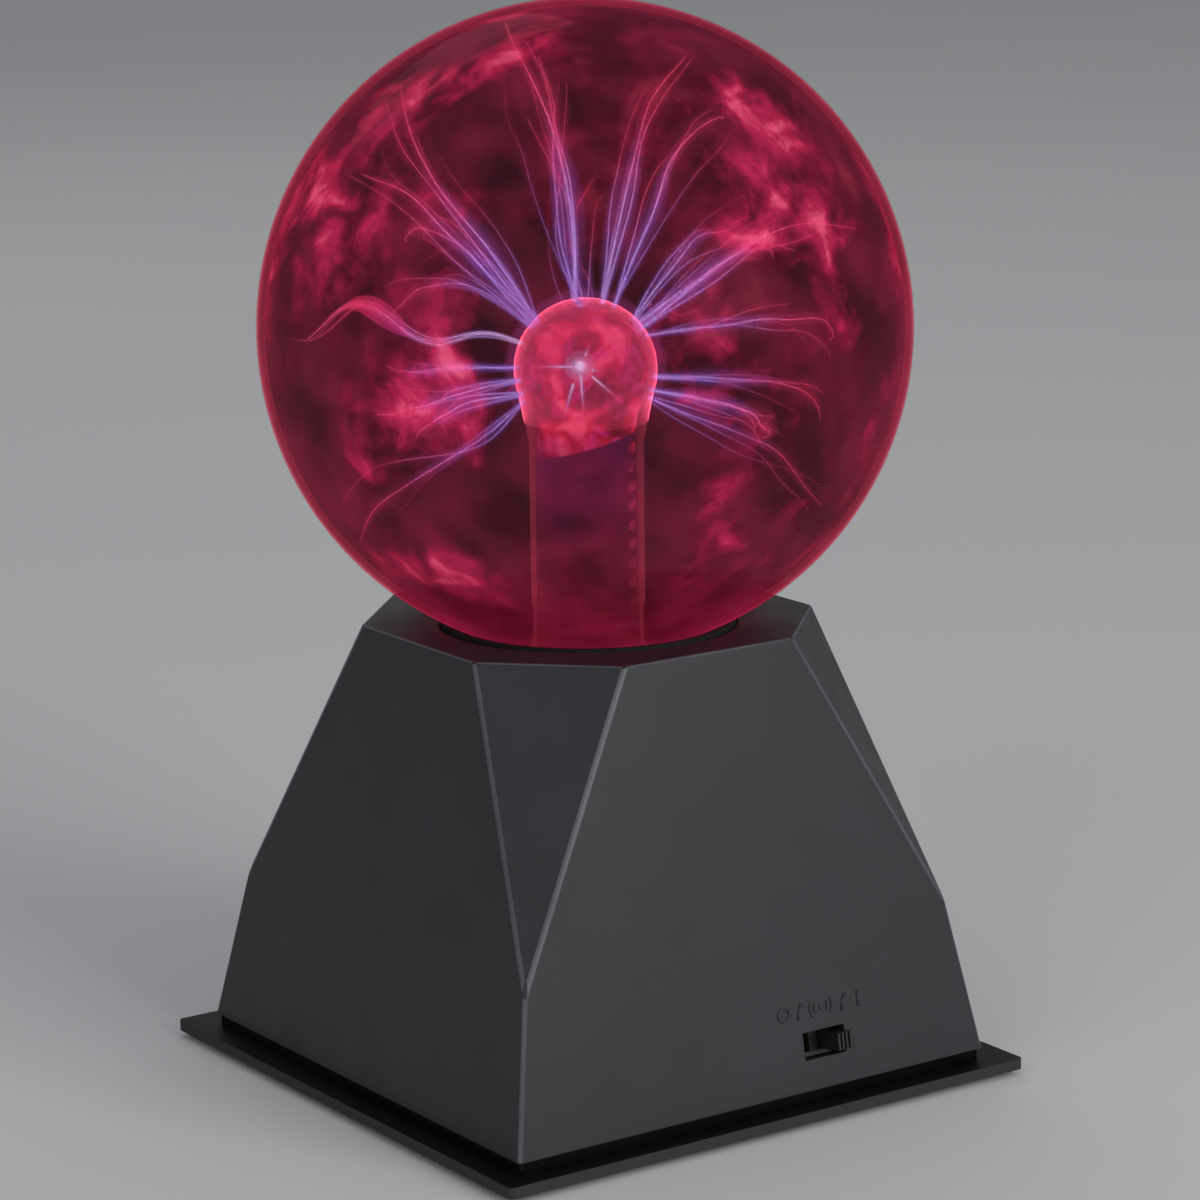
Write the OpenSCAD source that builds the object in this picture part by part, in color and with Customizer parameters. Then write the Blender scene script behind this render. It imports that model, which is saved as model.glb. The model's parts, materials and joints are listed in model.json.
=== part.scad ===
// Plasma ball: a gas-filled glass globe on a black pyramid base with a three-position slide switch.
// Millimetres. The origin is the centre of the footprint, on the surface that the feet stand on.

/* [Globe] */
// Outside diameter of the glass globe
globe_d = 150; // [140:1:156]
// Height of the globe's centre above the table
globe_z = 174.4; // [174:0.1:175]
// Thickness of the globe's glass
globe_wall = 1.6; // [1.2:0.1:2]
// Outside radius of the neck under the globe
neck_r = 30; // [29:0.5:30]

/* [Electrode] */
// Outside radius of the glass bulb in the middle of the globe
bulb_r = 16.3; // [15:0.1:17]
// Height of the bulb's centre above the table
bulb_z = 164.8; // [163:0.1:166]
// Outside radius of the glass tube that carries the bulb
tube_r = 13; // [12.5:0.1:13.5]
// Thickness of the electrode's glass
tube_wall = 0.9; // [0.8:0.1:1.2]

/* [Housing] */
// Half of the housing's width at its lower rim
rim_half = 65.4; // [65:0.1:66]
// Half of the housing's width at its top
top_half = 47.4; // [47:0.1:48]
// Height of the housing's top face above the table
top_z = 107.2; // [107:0.1:107.6]
// How much of each top corner the corner facet takes, along each side
corner_cut = 24.1; // [22:0.1:26]
// Height at which the corner facet comes to a point
apex_z = 41; // [38:1:44]
// Thickness of the housing's wall
wall = 2.4; // [2:0.1:2.6]
// Radius of the opening that the globe sits in
opening_r = 34.5; // [34.5:0.1:34.7]
// Outside radius of the bevel round that opening
bevel_r = 38.5; // [37:0.5:40]

/* [Base plate] */
// Half of the base plate's width
plate_half = 72; // [70:0.5:74]
// Thickness of the plate's flange
flange_t = 2.6; // [2.4:0.1:3]
// Height of the step that the housing stands on
step_h = 2; // [1.8:0.1:2.2]
// Height of the rubber feet
foot_h = 1.5; // [1:0.1:2]

/* [Switch and power socket] */
// Distance of the switch from the middle of the front face
switch_x = 19.8; // [15:0.1:24]
// Height of the switch above the table
switch_z = 16.2; // [16:0.1:17]
// Travel of the switch from its first to its third position
switch_travel = 7; // [6:0.1:7.2]
// Distance of the power socket from the middle of the rear face
jack_x = 0; // [-20:1:20]

/* [Hidden] */

black_plastic = "#2b2b2e";
glossy_black = "#161618";
steel = "#b9bcc0";
smooth = 96;    // facets of the large round parts
fine = 32;      // facets of the small round parts
eps = 0.01;     // how far a cut runs past a face

// ---- heights, from the table up
plate_z = foot_h;
step_z = plate_z + flange_t;
rim_z = step_z + step_h;
globe_r = globe_d / 2;
neck_bottom_z = 87.5;
ceiling_z = top_z - 2.6;

// ---- outline of the housing: four faces that lean in, and a facet across each corner
face_slope = (rim_half - top_half) / (top_z - rim_z);
face_tilt = atan(face_slope);
function half_at(z) = rim_half - face_slope * (z - rim_z);
corner_u_top = (2 * top_half - corner_cut) / sqrt(2);
corner_slope = (half_at(apex_z) * sqrt(2) - corner_u_top) / (top_z - apex_z);
function corner_u_at(z) = corner_u_top + corner_slope * (top_z - z);
corner_wall = 2.9;
bevel_depth = 1.3;

// ---- fixings: screw shanks are M3, M2.5, M2 and M2.2, and each hole is a little wider than its screw
base_screw_at = 54;
base_screw_r = 1.5;
boss_r = 3.8;
foot_at = 63;
foot_r = 5;
collar_screw_at = 44;
collar_screw_r = 1.25;
collar_flange_z = 93.5;
collar_flange_t = 2.5;
switch_screw_r = 1;
board_screw_r = 1.1;
thread_gap = 0.04;

// ---- circuit board, on four posts of the base plate
board = [84, 64, 1.6];
board_y = 4;
board_z = 14;
board_top = board_z + board[2];
board_hole = [37, 27];

// ---- slide switch, in the frame of the sloping front face (z is out of the face)
slot = [11.8, 6.4];
knob = [4.4, 4];
knob_proud = 3.6;
knob_rest_x = switch_travel / 2;
frame_front = -4.2;
frame_sheet = 0.6;
frame_box = [17, 6.6, 5];
frame_ear_at = 11.2;
mark_y = 8.2;
mark_h = 3.6;
mark_proud = 0.35;

// ---- power socket, in the frame of the sloping rear face
jack_flange_r = 5.6;
jack_flange_t = 1.6;
jack_barrel_r = 3.95;
jack_mouth_r = 3.4;
jack_bore_r = 3.1;
jack_bore_depth = 8;
jack_pin_r = 1.05;

// ---- routes of the leads, x y z
hv_route = [
    [-3, 0.3, 31], [-3, -3, 31], [-3, -6, 35], [-2, -6, 44], [0, -5, 55],
    [1, -3, 67], [0, 0, 80], [0, 0, 93], [0, 0, 106.5]
];
positive_route = [
    [2, 50.6, 13.8], [3, 46, 15], [12, 41, 24],
    [22, 36, 27], [30.5, 30, 25], [30.5, 29.5, 20.5]
];
negative_route = [
    [-2, 50.6, 13.8], [-1, 45, 16], [8, 42, 27],
    [17, 38, 30], [26.5, 30, 26], [26.5, 29.5, 20.5]
];
switch_route = [[0, -50.6, 15.2], [0, -46, 17], [0, -39, 23], [0, -31, 27], [0, -24.5, 25], [0, -24, 20.5]];

// ================= helpers

// A prism whose ends lean in: half-width b at height z0 and t at z1, long in its own Y direction.
module leaning_slab(angle, b, t, z0, z1)
    rotate([0, 0, angle]) rotate([90, 0, 0])
        linear_extrude(height = 400, center = true)
            polygon([[-b, z0], [b, z0], [t, z1], [-t, z1]]);

// The pyramid between two heights, taken in by `side` on its faces and `corner` on its facets.
module pyramid(z0, z1, side = 0, corner = 0)
    intersection() {
        leaning_slab(0, half_at(z0) - side, half_at(z1) - side, z0, z1);
        leaning_slab(90, half_at(z0) - side, half_at(z1) - side, z0, z1);
        leaning_slab(45, corner_u_at(z0) - corner, corner_u_at(z1) - corner, z0, z1);
        leaning_slab(135, corner_u_at(z0) - corner, corner_u_at(z1) - corner, z0, z1);
    }

// Puts its children on the front face: x along the face, y up the slope, z out of it.
module on_front_face(x)
    translate([x, -half_at(switch_z), switch_z]) rotate([90 - face_tilt, 0, 0]) children();

module on_rear_face(x)
    rotate([0, 0, 180]) on_front_face(-x) children();

module four_corners(d)
    for (sx = [-1, 1], sy = [-1, 1]) translate([sx * d, sy * d, 0]) children();

module four_diagonals(r)
    for (a = [45:90:315]) rotate([0, 0, a]) translate([r, 0, 0]) children();

module ring(outer, inner, h)
    difference() {
        cylinder(r = outer, h = h);
        translate([0, 0, -eps]) cylinder(r = inner, h = h + 2 * eps);
    }

module box_on_board(x, y, size)
    translate([x - size[0] / 2, y - size[1] / 2, board_top]) cube(size);

// Pan-head screw with its head below z = 0 and its shank going up.
module pan_screw(head_r, head_h, shank_r, length)
    difference() {
        union() {
            translate([0, 0, -head_h]) cylinder(r = head_r, h = head_h, $fn = fine);
            cylinder(r = shank_r, h = length - shank_r, $fn = fine);
            translate([0, 0, length - shank_r])
                cylinder(r1 = shank_r, r2 = shank_r / 3, h = shank_r, $fn = fine);
        }
        for (a = [0, 90]) rotate([0, 0, a])
            translate([-head_r * 0.6, -head_r * 0.12, -head_h - eps])
                cube([head_r * 1.2, head_r * 0.24, head_h * 0.6]);
    }

// A tube swept along a smooth curve through `route`; `side` is a direction that no stretch of it follows.
function smooth_at(p, i, t) =
    let (n = len(p), a = p[max(i - 1, 0)], b = p[i], c = p[i + 1], d = p[min(i + 2, n - 1)])
    0.5 * (2 * b + (c - a) * t + (2 * a - 5 * b + 4 * c - d) * t * t + (3 * b - a - 3 * c + d) * t * t * t);
function smoothed(p, steps) =
    concat([for (i = [0:len(p) - 2], k = [0:steps - 1]) smooth_at(p, i, k / steps)], [p[len(p) - 1]]);
function unit(v) = v / norm(v);
function tube_ring(p, i, r, sides, side) =
    let (
        along = unit(p[min(i + 1, len(p) - 1)] - p[max(i - 1, 0)]),
        u = unit(side - (side * along) * along),
        v = cross(along, u)
    )
    [for (k = [0:sides - 1]) p[i] + r * (cos(360 * k / sides) * u + sin(360 * k / sides) * v)];

module lead(route, r, side, sides = 8, steps = 4) {
    p = smoothed(route, steps);
    n = len(p);
    points = [for (i = [0:n - 1]) each tube_ring(p, i, r, sides, side)];
    walls = [
        for (i = [0:n - 2], k = [0:sides - 1])
            let (j = (k + 1) % sides)
            [i * sides + k, (i + 1) * sides + k, (i + 1) * sides + j, i * sides + j]
    ];
    ends = [[for (k = [0:sides - 1]) k], [for (k = [sides - 1:-1:0]) (n - 1) * sides + k]];
    polyhedron(points, concat(walls, ends));
}

// ================= casing

// Raised marks above the switch: a ring for off, sound waves for audio, a bar for on, and two strokes.
module switch_marks() {
    line = 0.6;
    root = 0.3;
    h = mark_proud + root;
    translate([0, mark_y, -root]) {
        translate([-10.6, 0, 0]) ring(mark_h / 2, mark_h / 2 - line, h, $fn = fine);
        for (x = [-6.2, 6.2])
            translate([x, 0, 0]) rotate([0, 0, -20])
                translate([-line / 2, -mark_h / 2, 0]) cube([line, mark_h, h]);
        cylinder(r = 0.6, h = h, $fn = fine);
        for (r = [1.8, 3.1], side = [0, 180])
            rotate([0, 0, side]) intersection() {
                ring(r + line / 2, r - line / 2, h, $fn = fine);
                linear_extrude(height = h) polygon([[0, 0], [4, -2.6], [4, 2.6]]);
            }
        translate([10.6 - line / 2, -mark_h / 2, 0]) cube([line, mark_h, h]);
    }
}

module housing_bosses() {
    intersection() {
        pyramid(rim_z, top_z - 1, wall / 2, wall / 2);
        four_corners(base_screw_at)
            translate([0, 0, rim_z]) cylinder(r = boss_r, h = 50, $fn = fine);
    }
    four_diagonals(collar_screw_at)
        translate([0, 0, collar_flange_z + collar_flange_t])
            cylinder(r = 3.2, h = ceiling_z - collar_flange_z - collar_flange_t + 1, $fn = fine);
    on_front_face(switch_x)
        for (x = [-1, 1])
            translate([x * frame_ear_at, 0, frame_front])
                cylinder(r = 2.3, h = -frame_front - 1, $fn = fine);
}

module housing_cuts() {
    translate([0, 0, ceiling_z - 1]) cylinder(r = opening_r, h = 10, $fn = smooth);
    translate([0, 0, top_z - bevel_depth])
        cylinder(r1 = opening_r, r2 = bevel_r, h = bevel_depth, $fn = smooth);
    translate([0, 0, top_z]) cylinder(r = bevel_r, h = 1, $fn = smooth);
    four_corners(base_screw_at)
        translate([0, 0, rim_z - eps]) cylinder(r = base_screw_r + thread_gap, h = 14, $fn = fine);
    four_diagonals(collar_screw_at)
        translate([0, 0, collar_flange_z]) cylinder(r = collar_screw_r + thread_gap, h = 9.8, $fn = fine);
    on_front_face(switch_x) {
        translate([-slot[0] / 2, -slot[1] / 2, -6]) cube([slot[0], slot[1], 12]);
        for (x = [-1, 1])
            translate([x * frame_ear_at, 0, frame_front - eps])
                cylinder(r = switch_screw_r + thread_gap, h = 2.8, $fn = fine);
    }
    on_rear_face(jack_x)
        translate([0, 0, -6]) cylinder(r = jack_barrel_r + 0.1, h = 12, $fn = fine);
}

module housing()
    color(black_plastic) difference() {
        union() {
            difference() {
                pyramid(rim_z, top_z);
                pyramid(rim_z - 5, ceiling_z, wall, corner_wall);
            }
            housing_bosses();
            on_front_face(switch_x) switch_marks();
        }
        housing_cuts();
    }

module rounded_plate(half, h, r)
    linear_extrude(height = h) union() {
        square([2 * half, 2 * (half - r)], center = true);
        square([2 * (half - r), 2 * half], center = true);
        for (sx = [-1, 1], sy = [-1, 1])
            translate([sx * (half - r), sy * (half - r)]) circle(r = r, $fn = fine);
    }

module base_plate() {
    step_half = rim_half - 0.8;
    lip_half = rim_half - wall - 0.9;
    lip_t = 1.8;
    lip_h = 3;
    color(glossy_black) difference() {
        union() {
            translate([0, 0, plate_z]) rounded_plate(plate_half, flange_t, 1.2);
            translate([0, 0, step_z - eps]) difference() {
                rounded_plate(step_half, step_h + eps, 0.8);
                translate([0, 0, -eps]) rounded_plate(lip_half - lip_t, step_h + 1, 2);
            }
            translate([0, 0, rim_z - eps]) difference() {
                rounded_plate(lip_half, lip_h, 1.5);
                translate([0, 0, -eps]) rounded_plate(lip_half - lip_t, lip_h + 1, 2);
                four_corners(base_screw_at)
                    translate([0, 0, -1]) cylinder(r = 10, h = lip_h + 2, $fn = fine);
            }
            four_corners(base_screw_at)
                translate([0, 0, step_z - eps]) cylinder(r = boss_r + 1, h = step_h, $fn = fine);
            for (sx = [-1, 1], sy = [-1, 1])
                translate([sx * board_hole[0], board_y + sy * board_hole[1], step_z - eps])
                    cylinder(r = 3, h = board_z - step_z, $fn = fine);
        }
        four_corners(base_screw_at) {
            translate([0, 0, plate_z - eps]) cylinder(r = 3.2, h = 1.8 + eps, $fn = fine);
            translate([0, 0, plate_z]) cylinder(r = 1.7, h = 10, $fn = fine);
        }
        for (sx = [-1, 1], sy = [-1, 1])
            translate([sx * board_hole[0], board_y + sy * board_hole[1], step_z + 1])
                cylinder(r = board_screw_r + thread_gap, h = 20, $fn = fine);
        for (x = [-22:11:22], y = [-34, 30])
            translate([x - 1, y - 9, plate_z - 1]) cube([2, 18, flange_t + 2]);
    }
}

module base_screws()
    color(steel) four_corners(base_screw_at)
        translate([0, 0, plate_z + 1.8]) pan_screw(2.9, 1.5, base_screw_r, 13);

module rubber_feet()
    color("#1c1c1c") four_corners(foot_at) {
        cylinder(r1 = foot_r - 0.4, r2 = foot_r, h = 0.6, $fn = fine);
        translate([0, 0, 0.6]) cylinder(r = foot_r, h = foot_h - 0.6, $fn = fine);
    }

// ================= globe and its seat

// Cup that the neck is glued into; the neck's edge stands on its inner lip.
module neck_collar() {
    cup_bottom = 84;
    cup_top = 104;
    cup_r = neck_r + 4;
    color("#303033") difference() {
        union() {
            translate([0, 0, cup_bottom]) cylinder(r = cup_r, h = cup_top - cup_bottom, $fn = smooth);
            translate([0, 0, collar_flange_z]) cylinder(r = 42.5, h = collar_flange_t, $fn = smooth);
            four_diagonals(collar_screw_at)
                translate([0, 0, collar_flange_z]) cylinder(r = 4.2, h = collar_flange_t, $fn = fine);
        }
        translate([0, 0, cup_bottom - eps]) cylinder(r = neck_r - 2.8, h = 30, $fn = smooth);
        translate([0, 0, neck_bottom_z]) cylinder(r = neck_r + 0.6, h = 30, $fn = smooth);
        four_diagonals(collar_screw_at)
            translate([0, 0, collar_flange_z - eps])
                cylinder(r = collar_screw_r + 0.35, h = collar_flange_t + 1, $fn = fine);
    }
}

module collar_screws()
    color(steel) four_diagonals(collar_screw_at)
        translate([0, 0, collar_flange_z]) pan_screw(2.4, 1.4, collar_screw_r, 9);

// Foam ring that fills the gap between the opening and the glass, hollowed to the globe's curve.
module globe_gasket()
    color("#141414") difference() {
        translate([0, 0, 104]) ring(opening_r - 0.2, neck_r + 0.1, top_z - 0.4 - 104, $fn = smooth);
        translate([0, 0, globe_z]) sphere(r = globe_r + 0.03, $fn = smooth);
    }

module globe_glass()
    color("#d8a0ac", 0.35) difference() {
        union() {
            translate([0, 0, globe_z]) sphere(r = globe_r, $fn = smooth);
            translate([0, 0, neck_bottom_z]) cylinder(r = neck_r, h = 30, $fn = smooth);
        }
        translate([0, 0, globe_z]) sphere(r = globe_r - globe_wall, $fn = smooth);
        translate([0, 0, neck_bottom_z - eps]) cylinder(r = neck_r - globe_wall, h = 32, $fn = smooth);
    }

// The tube flares out at its foot to meet the neck's inside wall, where the two are fused.
flare_r = 14;
flare_z = 104;
flare_edge_r = neck_r - globe_wall - 0.03;
module flare_section() {
    steps = 12;
    centre_x = tube_r + flare_r;
    low_r = flare_r + tube_wall;
    turn = 90 / steps;
    upper = [for (k = [0:steps]) [centre_x - flare_r * cos(k * turn), flare_z - flare_r * sin(k * turn)]];
    lower = [for (k = [steps:-1:0]) [centre_x - low_r * cos(k * turn), flare_z - low_r * sin(k * turn)]];
    edge = [[flare_edge_r, flare_z - flare_r], [flare_edge_r, flare_z - low_r]];
    polygon(concat(upper, edge, lower));
}

// Outside of the bulb, its tapered shoulder and its tube, all drawn in by `shrink`.
module electrode_form(shrink) {
    bulb = bulb_r - shrink;
    tube = tube_r - shrink;
    shoulder_z = 148;
    join = 5.6;
    join_r = sqrt(bulb * bulb - join * join);
    translate([0, 0, bulb_z]) sphere(r = bulb, $fn = smooth);
    translate([0, 0, flare_z]) cylinder(r = tube, h = shoulder_z - flare_z + eps, $fn = smooth);
    translate([0, 0, shoulder_z])
        cylinder(r1 = tube, r2 = join_r, h = bulb_z - join - shoulder_z, $fn = smooth);
}

// Below the flare hangs the sealed stub of the tube that the globe was pumped out and filled through.
exhaust = [24, 0, 81];
module electrode_glass()
    color("#e86a86", 0.5) difference() {
        union() {
            difference() {
                electrode_form(0);
                electrode_form(tube_wall);
                translate([0, 0, flare_z - 1]) cylinder(r = tube_r - tube_wall, h = 10, $fn = smooth);
            }
            rotate_extrude($fn = smooth) flare_section();
            translate(exhaust) cylinder(r = 2.4, h = 9, $fn = fine);
            translate(exhaust - [0, 0, 5]) cylinder(r1 = 0.4, r2 = 2.4, h = 5 + eps, $fn = fine);
        }
        translate(exhaust) cylinder(r = 1.5, h = 12, $fn = fine);
        translate(exhaust - [0, 0, 2.5]) cylinder(r1 = 0.3, r2 = 1.5, h = 2.5 + eps, $fn = fine);
    }

// Dark conductive sheet rolled into the tube: its top is cut on a slant and one long edge has notches.
liner_sheet = 0.4;
liner_r = tube_r - tube_wall - 0.2;
liner_inner_r = liner_r - liner_sheet;
liner_bottom = flare_z + 2.5;
module electrode_liner() {
    top_z = 148;
    slant = 14.7;
    slant_towards = -35;
    seam_angle = -50;
    seam_gap = 30;
    notch = [4.4, 2.3];
    notch_pitch = 4.5;
    color("#3a1630") difference() {
        translate([0, 0, liner_bottom]) ring(liner_r, liner_inner_r, 50, $fn = smooth);
        rotate([0, 0, slant_towards]) translate([0, 0, top_z]) rotate([0, -slant, 0])
            translate([-30, -30, 0]) cube([60, 60, 60]);
        rotate([0, 0, seam_angle]) {
            translate([0, 0, liner_bottom - 1])
                linear_extrude(height = 60)
                    polygon([[0, 0], [20, 0], [20 * cos(seam_gap), 20 * sin(seam_gap)]]);
            for (k = [0:8])
                translate([liner_r - 2.5, 0, liner_bottom + 5 + k * notch_pitch]) {
                    translate([0, notch[1] / 2 - notch[0], -notch[1] / 2]) cube([5, notch[0], notch[1]]);
                    translate([0, notch[1] / 2 - notch[0], 0]) rotate([0, 90, 0])
                        cylinder(r = notch[1] / 2, h = 5, $fn = fine);
                }
        }
    }
}

// Rubber bung in the tube's foot, with a hole for the high-voltage lead.
module stem_plug()
    color("#c9c3b8") translate([0, 0, 97.5]) ring(tube_r - tube_wall - 0.1, 1.7, 8.5, $fn = fine);

// Spring fingers on the end of the high-voltage lead, pressed against the liner.
module hv_contact_clip() {
    finger_r = liner_inner_r - 0.02;
    sheet = 0.4;
    color("#c98a3c") translate([0, 0, liner_bottom]) {
        ring(2.6, 0.9, 1, $fn = fine);
        for (a = [0:90:270])
            rotate([0, 0, a]) {
                translate([2, -1, 0]) cube([finger_r - 2.1, 2, sheet]);
                translate([finger_r - 0.1 - sheet, -1, 0]) cube([sheet, 2, 7]);
            }
    }
}

// ================= slide switch

module switch_slider() {
    flange = [8.4, 5, 1.2];
    ridges = 4;
    ridge_w = 0.45;
    pitch = knob[0] / ridges;
    color("#17171a") on_front_face(switch_x) translate([knob_rest_x, 0, 0]) {
        difference() {
            translate([-knob[0] / 2, -knob[1] / 2, frame_front - frame_sheet - 0.5])
                cube([knob[0], knob[1], knob_proud - frame_front + frame_sheet + 0.5]);
            for (k = [0:ridges - 1])
                translate([-knob[0] / 2 + k * pitch + ridge_w, -knob[1] / 2 - 1, knob_proud - 0.5])
                    cube([pitch - ridge_w, knob[1] + 2, 1]);
        }
        translate([-flange[0] / 2, -flange[1] / 2, frame_front - frame_sheet - 0.1 - flange[2]])
            cube(flange);
    }
}

module slider_contact()
    color("#c98a3c") on_front_face(switch_x) translate([knob_rest_x, 0, 0]) {
        top = frame_front - frame_sheet - 1.3;
        sheet = 0.3;
        translate([-3, -1.6, top - sheet]) cube([6, 3.2, sheet]);
        for (x = [-1.5, 1.5], y = [-1.3, 1.3])
            translate([x - 0.4, y - sheet / 2, top - 2.15]) cube([0.8, sheet, 2]);
    }

module switch_frame() {
    window = [knob[0] + switch_travel + 0.4, knob[1] + 0.4];
    sheet = frame_sheet;
    color("#c3c6c9") on_front_face(switch_x) difference() {
        union() {
            translate([-13.4, -3.3, frame_front - sheet]) cube([26.8, 6.6, sheet]);
            translate([-frame_box[0] / 2, -frame_box[1] / 2, frame_front - sheet - frame_box[2]])
                cube([frame_box[0], frame_box[1], frame_box[2] + eps]);
        }
        translate([0, 0, frame_front - sheet - frame_box[2] / 2 - 1])
            cube([frame_box[0] - 2 * sheet, frame_box[1] - 2 * sheet, frame_box[2] + 2], center = true);
        translate([-window[0] / 2, -window[1] / 2, frame_front - 3]) cube([window[0], window[1], 6]);
        for (x = [-1, 1])
            translate([x * frame_ear_at, 0, frame_front - 2]) cylinder(r = 1.15, h = 4, $fn = fine);
    }
}

switch_board_z = frame_front - frame_sheet - frame_box[2];
terminal_x = [-4.5, -1.5, 1.5, 4.5];
module switch_board()
    color("#7a4a24") on_front_face(switch_x) difference() {
        translate([-frame_box[0] / 2 + 0.7, -frame_box[1] / 2 + 0.7, switch_board_z])
            cube([frame_box[0] - 1.4, frame_box[1] - 1.4, 0.9]);
        for (x = terminal_x, y = [-1.3, 1.3])
            translate([x - 0.55, y - 0.2, switch_board_z - 1]) cube([1.1, 0.4, 3]);
    }

module switch_terminals()
    color("#d6c9a0") on_front_face(switch_x)
        for (x = terminal_x, y = [-1.3, 1.3])
            translate([x - 0.5, y - 0.15, switch_board_z - 3]) cube([1, 0.3, 4.2]);

module switch_screws()
    color(steel) on_front_face(switch_x)
        for (x = [-1, 1])
            translate([x * frame_ear_at, 0, frame_front - frame_sheet])
                pan_screw(1.9, 1.1, switch_screw_r, 3.2);

// ================= power socket

module jack_body()
    color("#101012") on_rear_face(jack_x) difference() {
        union() {
            cylinder(r = jack_flange_r, h = jack_flange_t - 0.4, $fn = fine);
            translate([0, 0, jack_flange_t - 0.4])
                cylinder(r1 = jack_flange_r, r2 = jack_flange_r - 0.4, h = 0.4, $fn = fine);
            translate([0, 0, -10]) cylinder(r = jack_barrel_r, h = 10 + eps, $fn = fine);
        }
        translate([0, 0, 0]) cylinder(r = jack_mouth_r, h = 10, $fn = fine);
        translate([0, 0, -jack_bore_depth]) cylinder(r = jack_bore_r, h = jack_bore_depth + eps, $fn = fine);
        for (x = [-1, 1]) translate([2 * x - 0.5, -0.6, -12]) cube([1, 1.2, 3]);
    }

module jack_nut()
    color("#a9acb0") on_rear_face(jack_x) translate([0, 0, -wall - 2]) difference() {
        cylinder(r = 6.2, h = 2, $fn = 6);
        translate([0, 0, -1]) cylinder(r = jack_barrel_r + thread_gap, h = 4, $fn = fine);
    }

module jack_pin()
    color("#cfd2d6") on_rear_face(jack_x) {
        translate([0, 0, -jack_bore_depth]) cylinder(r = jack_pin_r, h = jack_bore_depth - 0.5, $fn = fine);
        translate([0, 0, -0.5]) cylinder(r1 = jack_pin_r, r2 = 0.7, h = 0.5, $fn = fine);
    }

module jack_terminals()
    color("#d6c9a0") on_rear_face(jack_x)
        for (x = [-1, 1]) translate([2 * x - 0.4, -0.5, -13]) cube([0.8, 1, 4]);

// ================= electronics

module circuit_board()
    color("#1f6b3a") difference() {
        translate([-board[0] / 2, board_y - board[1] / 2, board_z]) cube(board);
        for (sx = [-1, 1], sy = [-1, 1])
            translate([sx * board_hole[0], board_y + sy * board_hole[1], board_z - 1])
                cylinder(r = 1.6, h = 4, $fn = fine);
    }

module board_screws()
    color(steel)
        for (sx = [-1, 1], sy = [-1, 1])
            translate([sx * board_hole[0], board_y + sy * board_hole[1], board_top])
                mirror([0, 0, 1]) pan_screw(2.6, 1.6, board_screw_r, 7);

core_at = [-16, 12];
module transformer_core() {
    size = [34, 9, 30];
    leg = 8;
    color("#3b3b3d") translate([core_at[0] - size[0] / 2, core_at[1] - size[1] / 2, board_top])
        difference() {
            cube(size);
            translate([leg, -1, leg]) cube([size[0] - 2 * leg, size[1] + 2, size[2] - 2 * leg]);
        }
}

module transformer_coil() {
    leg_x = core_at[0] + 13;
    color("#5a2320") translate([leg_x, core_at[1], board_top + 8.2]) difference() {
        union() {
            cylinder(r = 11.6, h = 13.6, $fn = smooth);
            for (z = [0, 12.4]) translate([0, 0, z]) cylinder(r = 12.6, h = 1.2, $fn = smooth);
        }
        translate([-4.1, -4.6, -1]) cube([8.2, 9.2, 16]);
    }
}

// Power transistor, screwed by its tab to a finned heat sink.
sink_x = 30;
sink_y = -12.5;
sink_hole_z = board_top + 16;
sink_screw_r = 1.3;
module driver_transistor()
    color("#1a1a1c") difference() {
        union() {
            translate([sink_x - 5.2, sink_y - 4.5, board_top + 4]) cube([10.4, 4.5, 9]);
            translate([sink_x - 5.2, sink_y - 1.3, board_top + 13 - eps]) cube([10.4, 1.3, 6]);
            for (x = [-2.6, 0, 2.6])
                translate([sink_x + x - 0.4, sink_y - 2.5, board_top]) cube([0.8, 0.6, 4 + eps]);
        }
        translate([sink_x, sink_y + 1, sink_hole_z]) rotate([90, 0, 0])
            cylinder(r = sink_screw_r + 0.3, h = 4, $fn = fine);
    }

module heat_sink()
    color("#9aa0a6") difference() {
        union() {
            translate([sink_x - 12, sink_y, board_top]) cube([24, 2, 24]);
            for (x = [-12:4.4:10])
                translate([sink_x + x, sink_y + 2 - eps, board_top]) cube([2, 8, 24]);
        }
        translate([sink_x, sink_y + 3.5, sink_hole_z]) rotate([90, 0, 0])
            cylinder(r = sink_screw_r + thread_gap, h = 8, $fn = fine);
    }

module transistor_screw()
    color(steel) translate([sink_x, sink_y - 1.3, sink_hole_z]) rotate([-90, 0, 0])
        pan_screw(2.6, 1.5, sink_screw_r, 3.2);

module timer_chip()
    color("#18181a") {
        box_on_board(4, -14, [9.6, 6.4, 3.6]);
        for (k = [0:3], side = [-1, 1])
            translate([4 - 4 + k * 2.54, -14 + side * 3.5 - 0.3, board_top]) cube([0.5, 0.6, 2.4]);
    }

module electrolytic_capacitors()
    color("#20304f")
        for (c = [[34, 8, 5, 13], [21, 12, 4, 11], [-32, -14, 4, 11]])
            translate([c[0], c[1], board_top]) difference() {
                cylinder(r = c[2], h = c[3], $fn = fine);
                translate([0, 0, 1.4]) ring(c[2] + 1, c[2] - 0.3, 0.7, $fn = fine);
            }

module film_capacitor()
    color("#8f2f22") box_on_board(-16, -6, [13, 6, 11]);

module resistors()
    color("#c8ab78")
        for (k = [0:5])
            translate([-25 + k * 4.2, -18, board_top + 1.4]) rotate([90, 0, 0]) {
                translate([0, 0, -3.2]) cylinder(r = 1.2, h = 6.4, $fn = fine);
                translate([0, 0, -4.6]) cylinder(r = 0.3, h = 9.2, $fn = 16);
            }

module microphone()
    color("#b8bbbf") translate([-36, -3, board_top]) difference() {
        cylinder(r = 4.85, h = 6, $fn = fine);
        translate([0, 0, 5.6]) cylinder(r = 3.6, h = 1, $fn = fine);
    }

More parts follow.
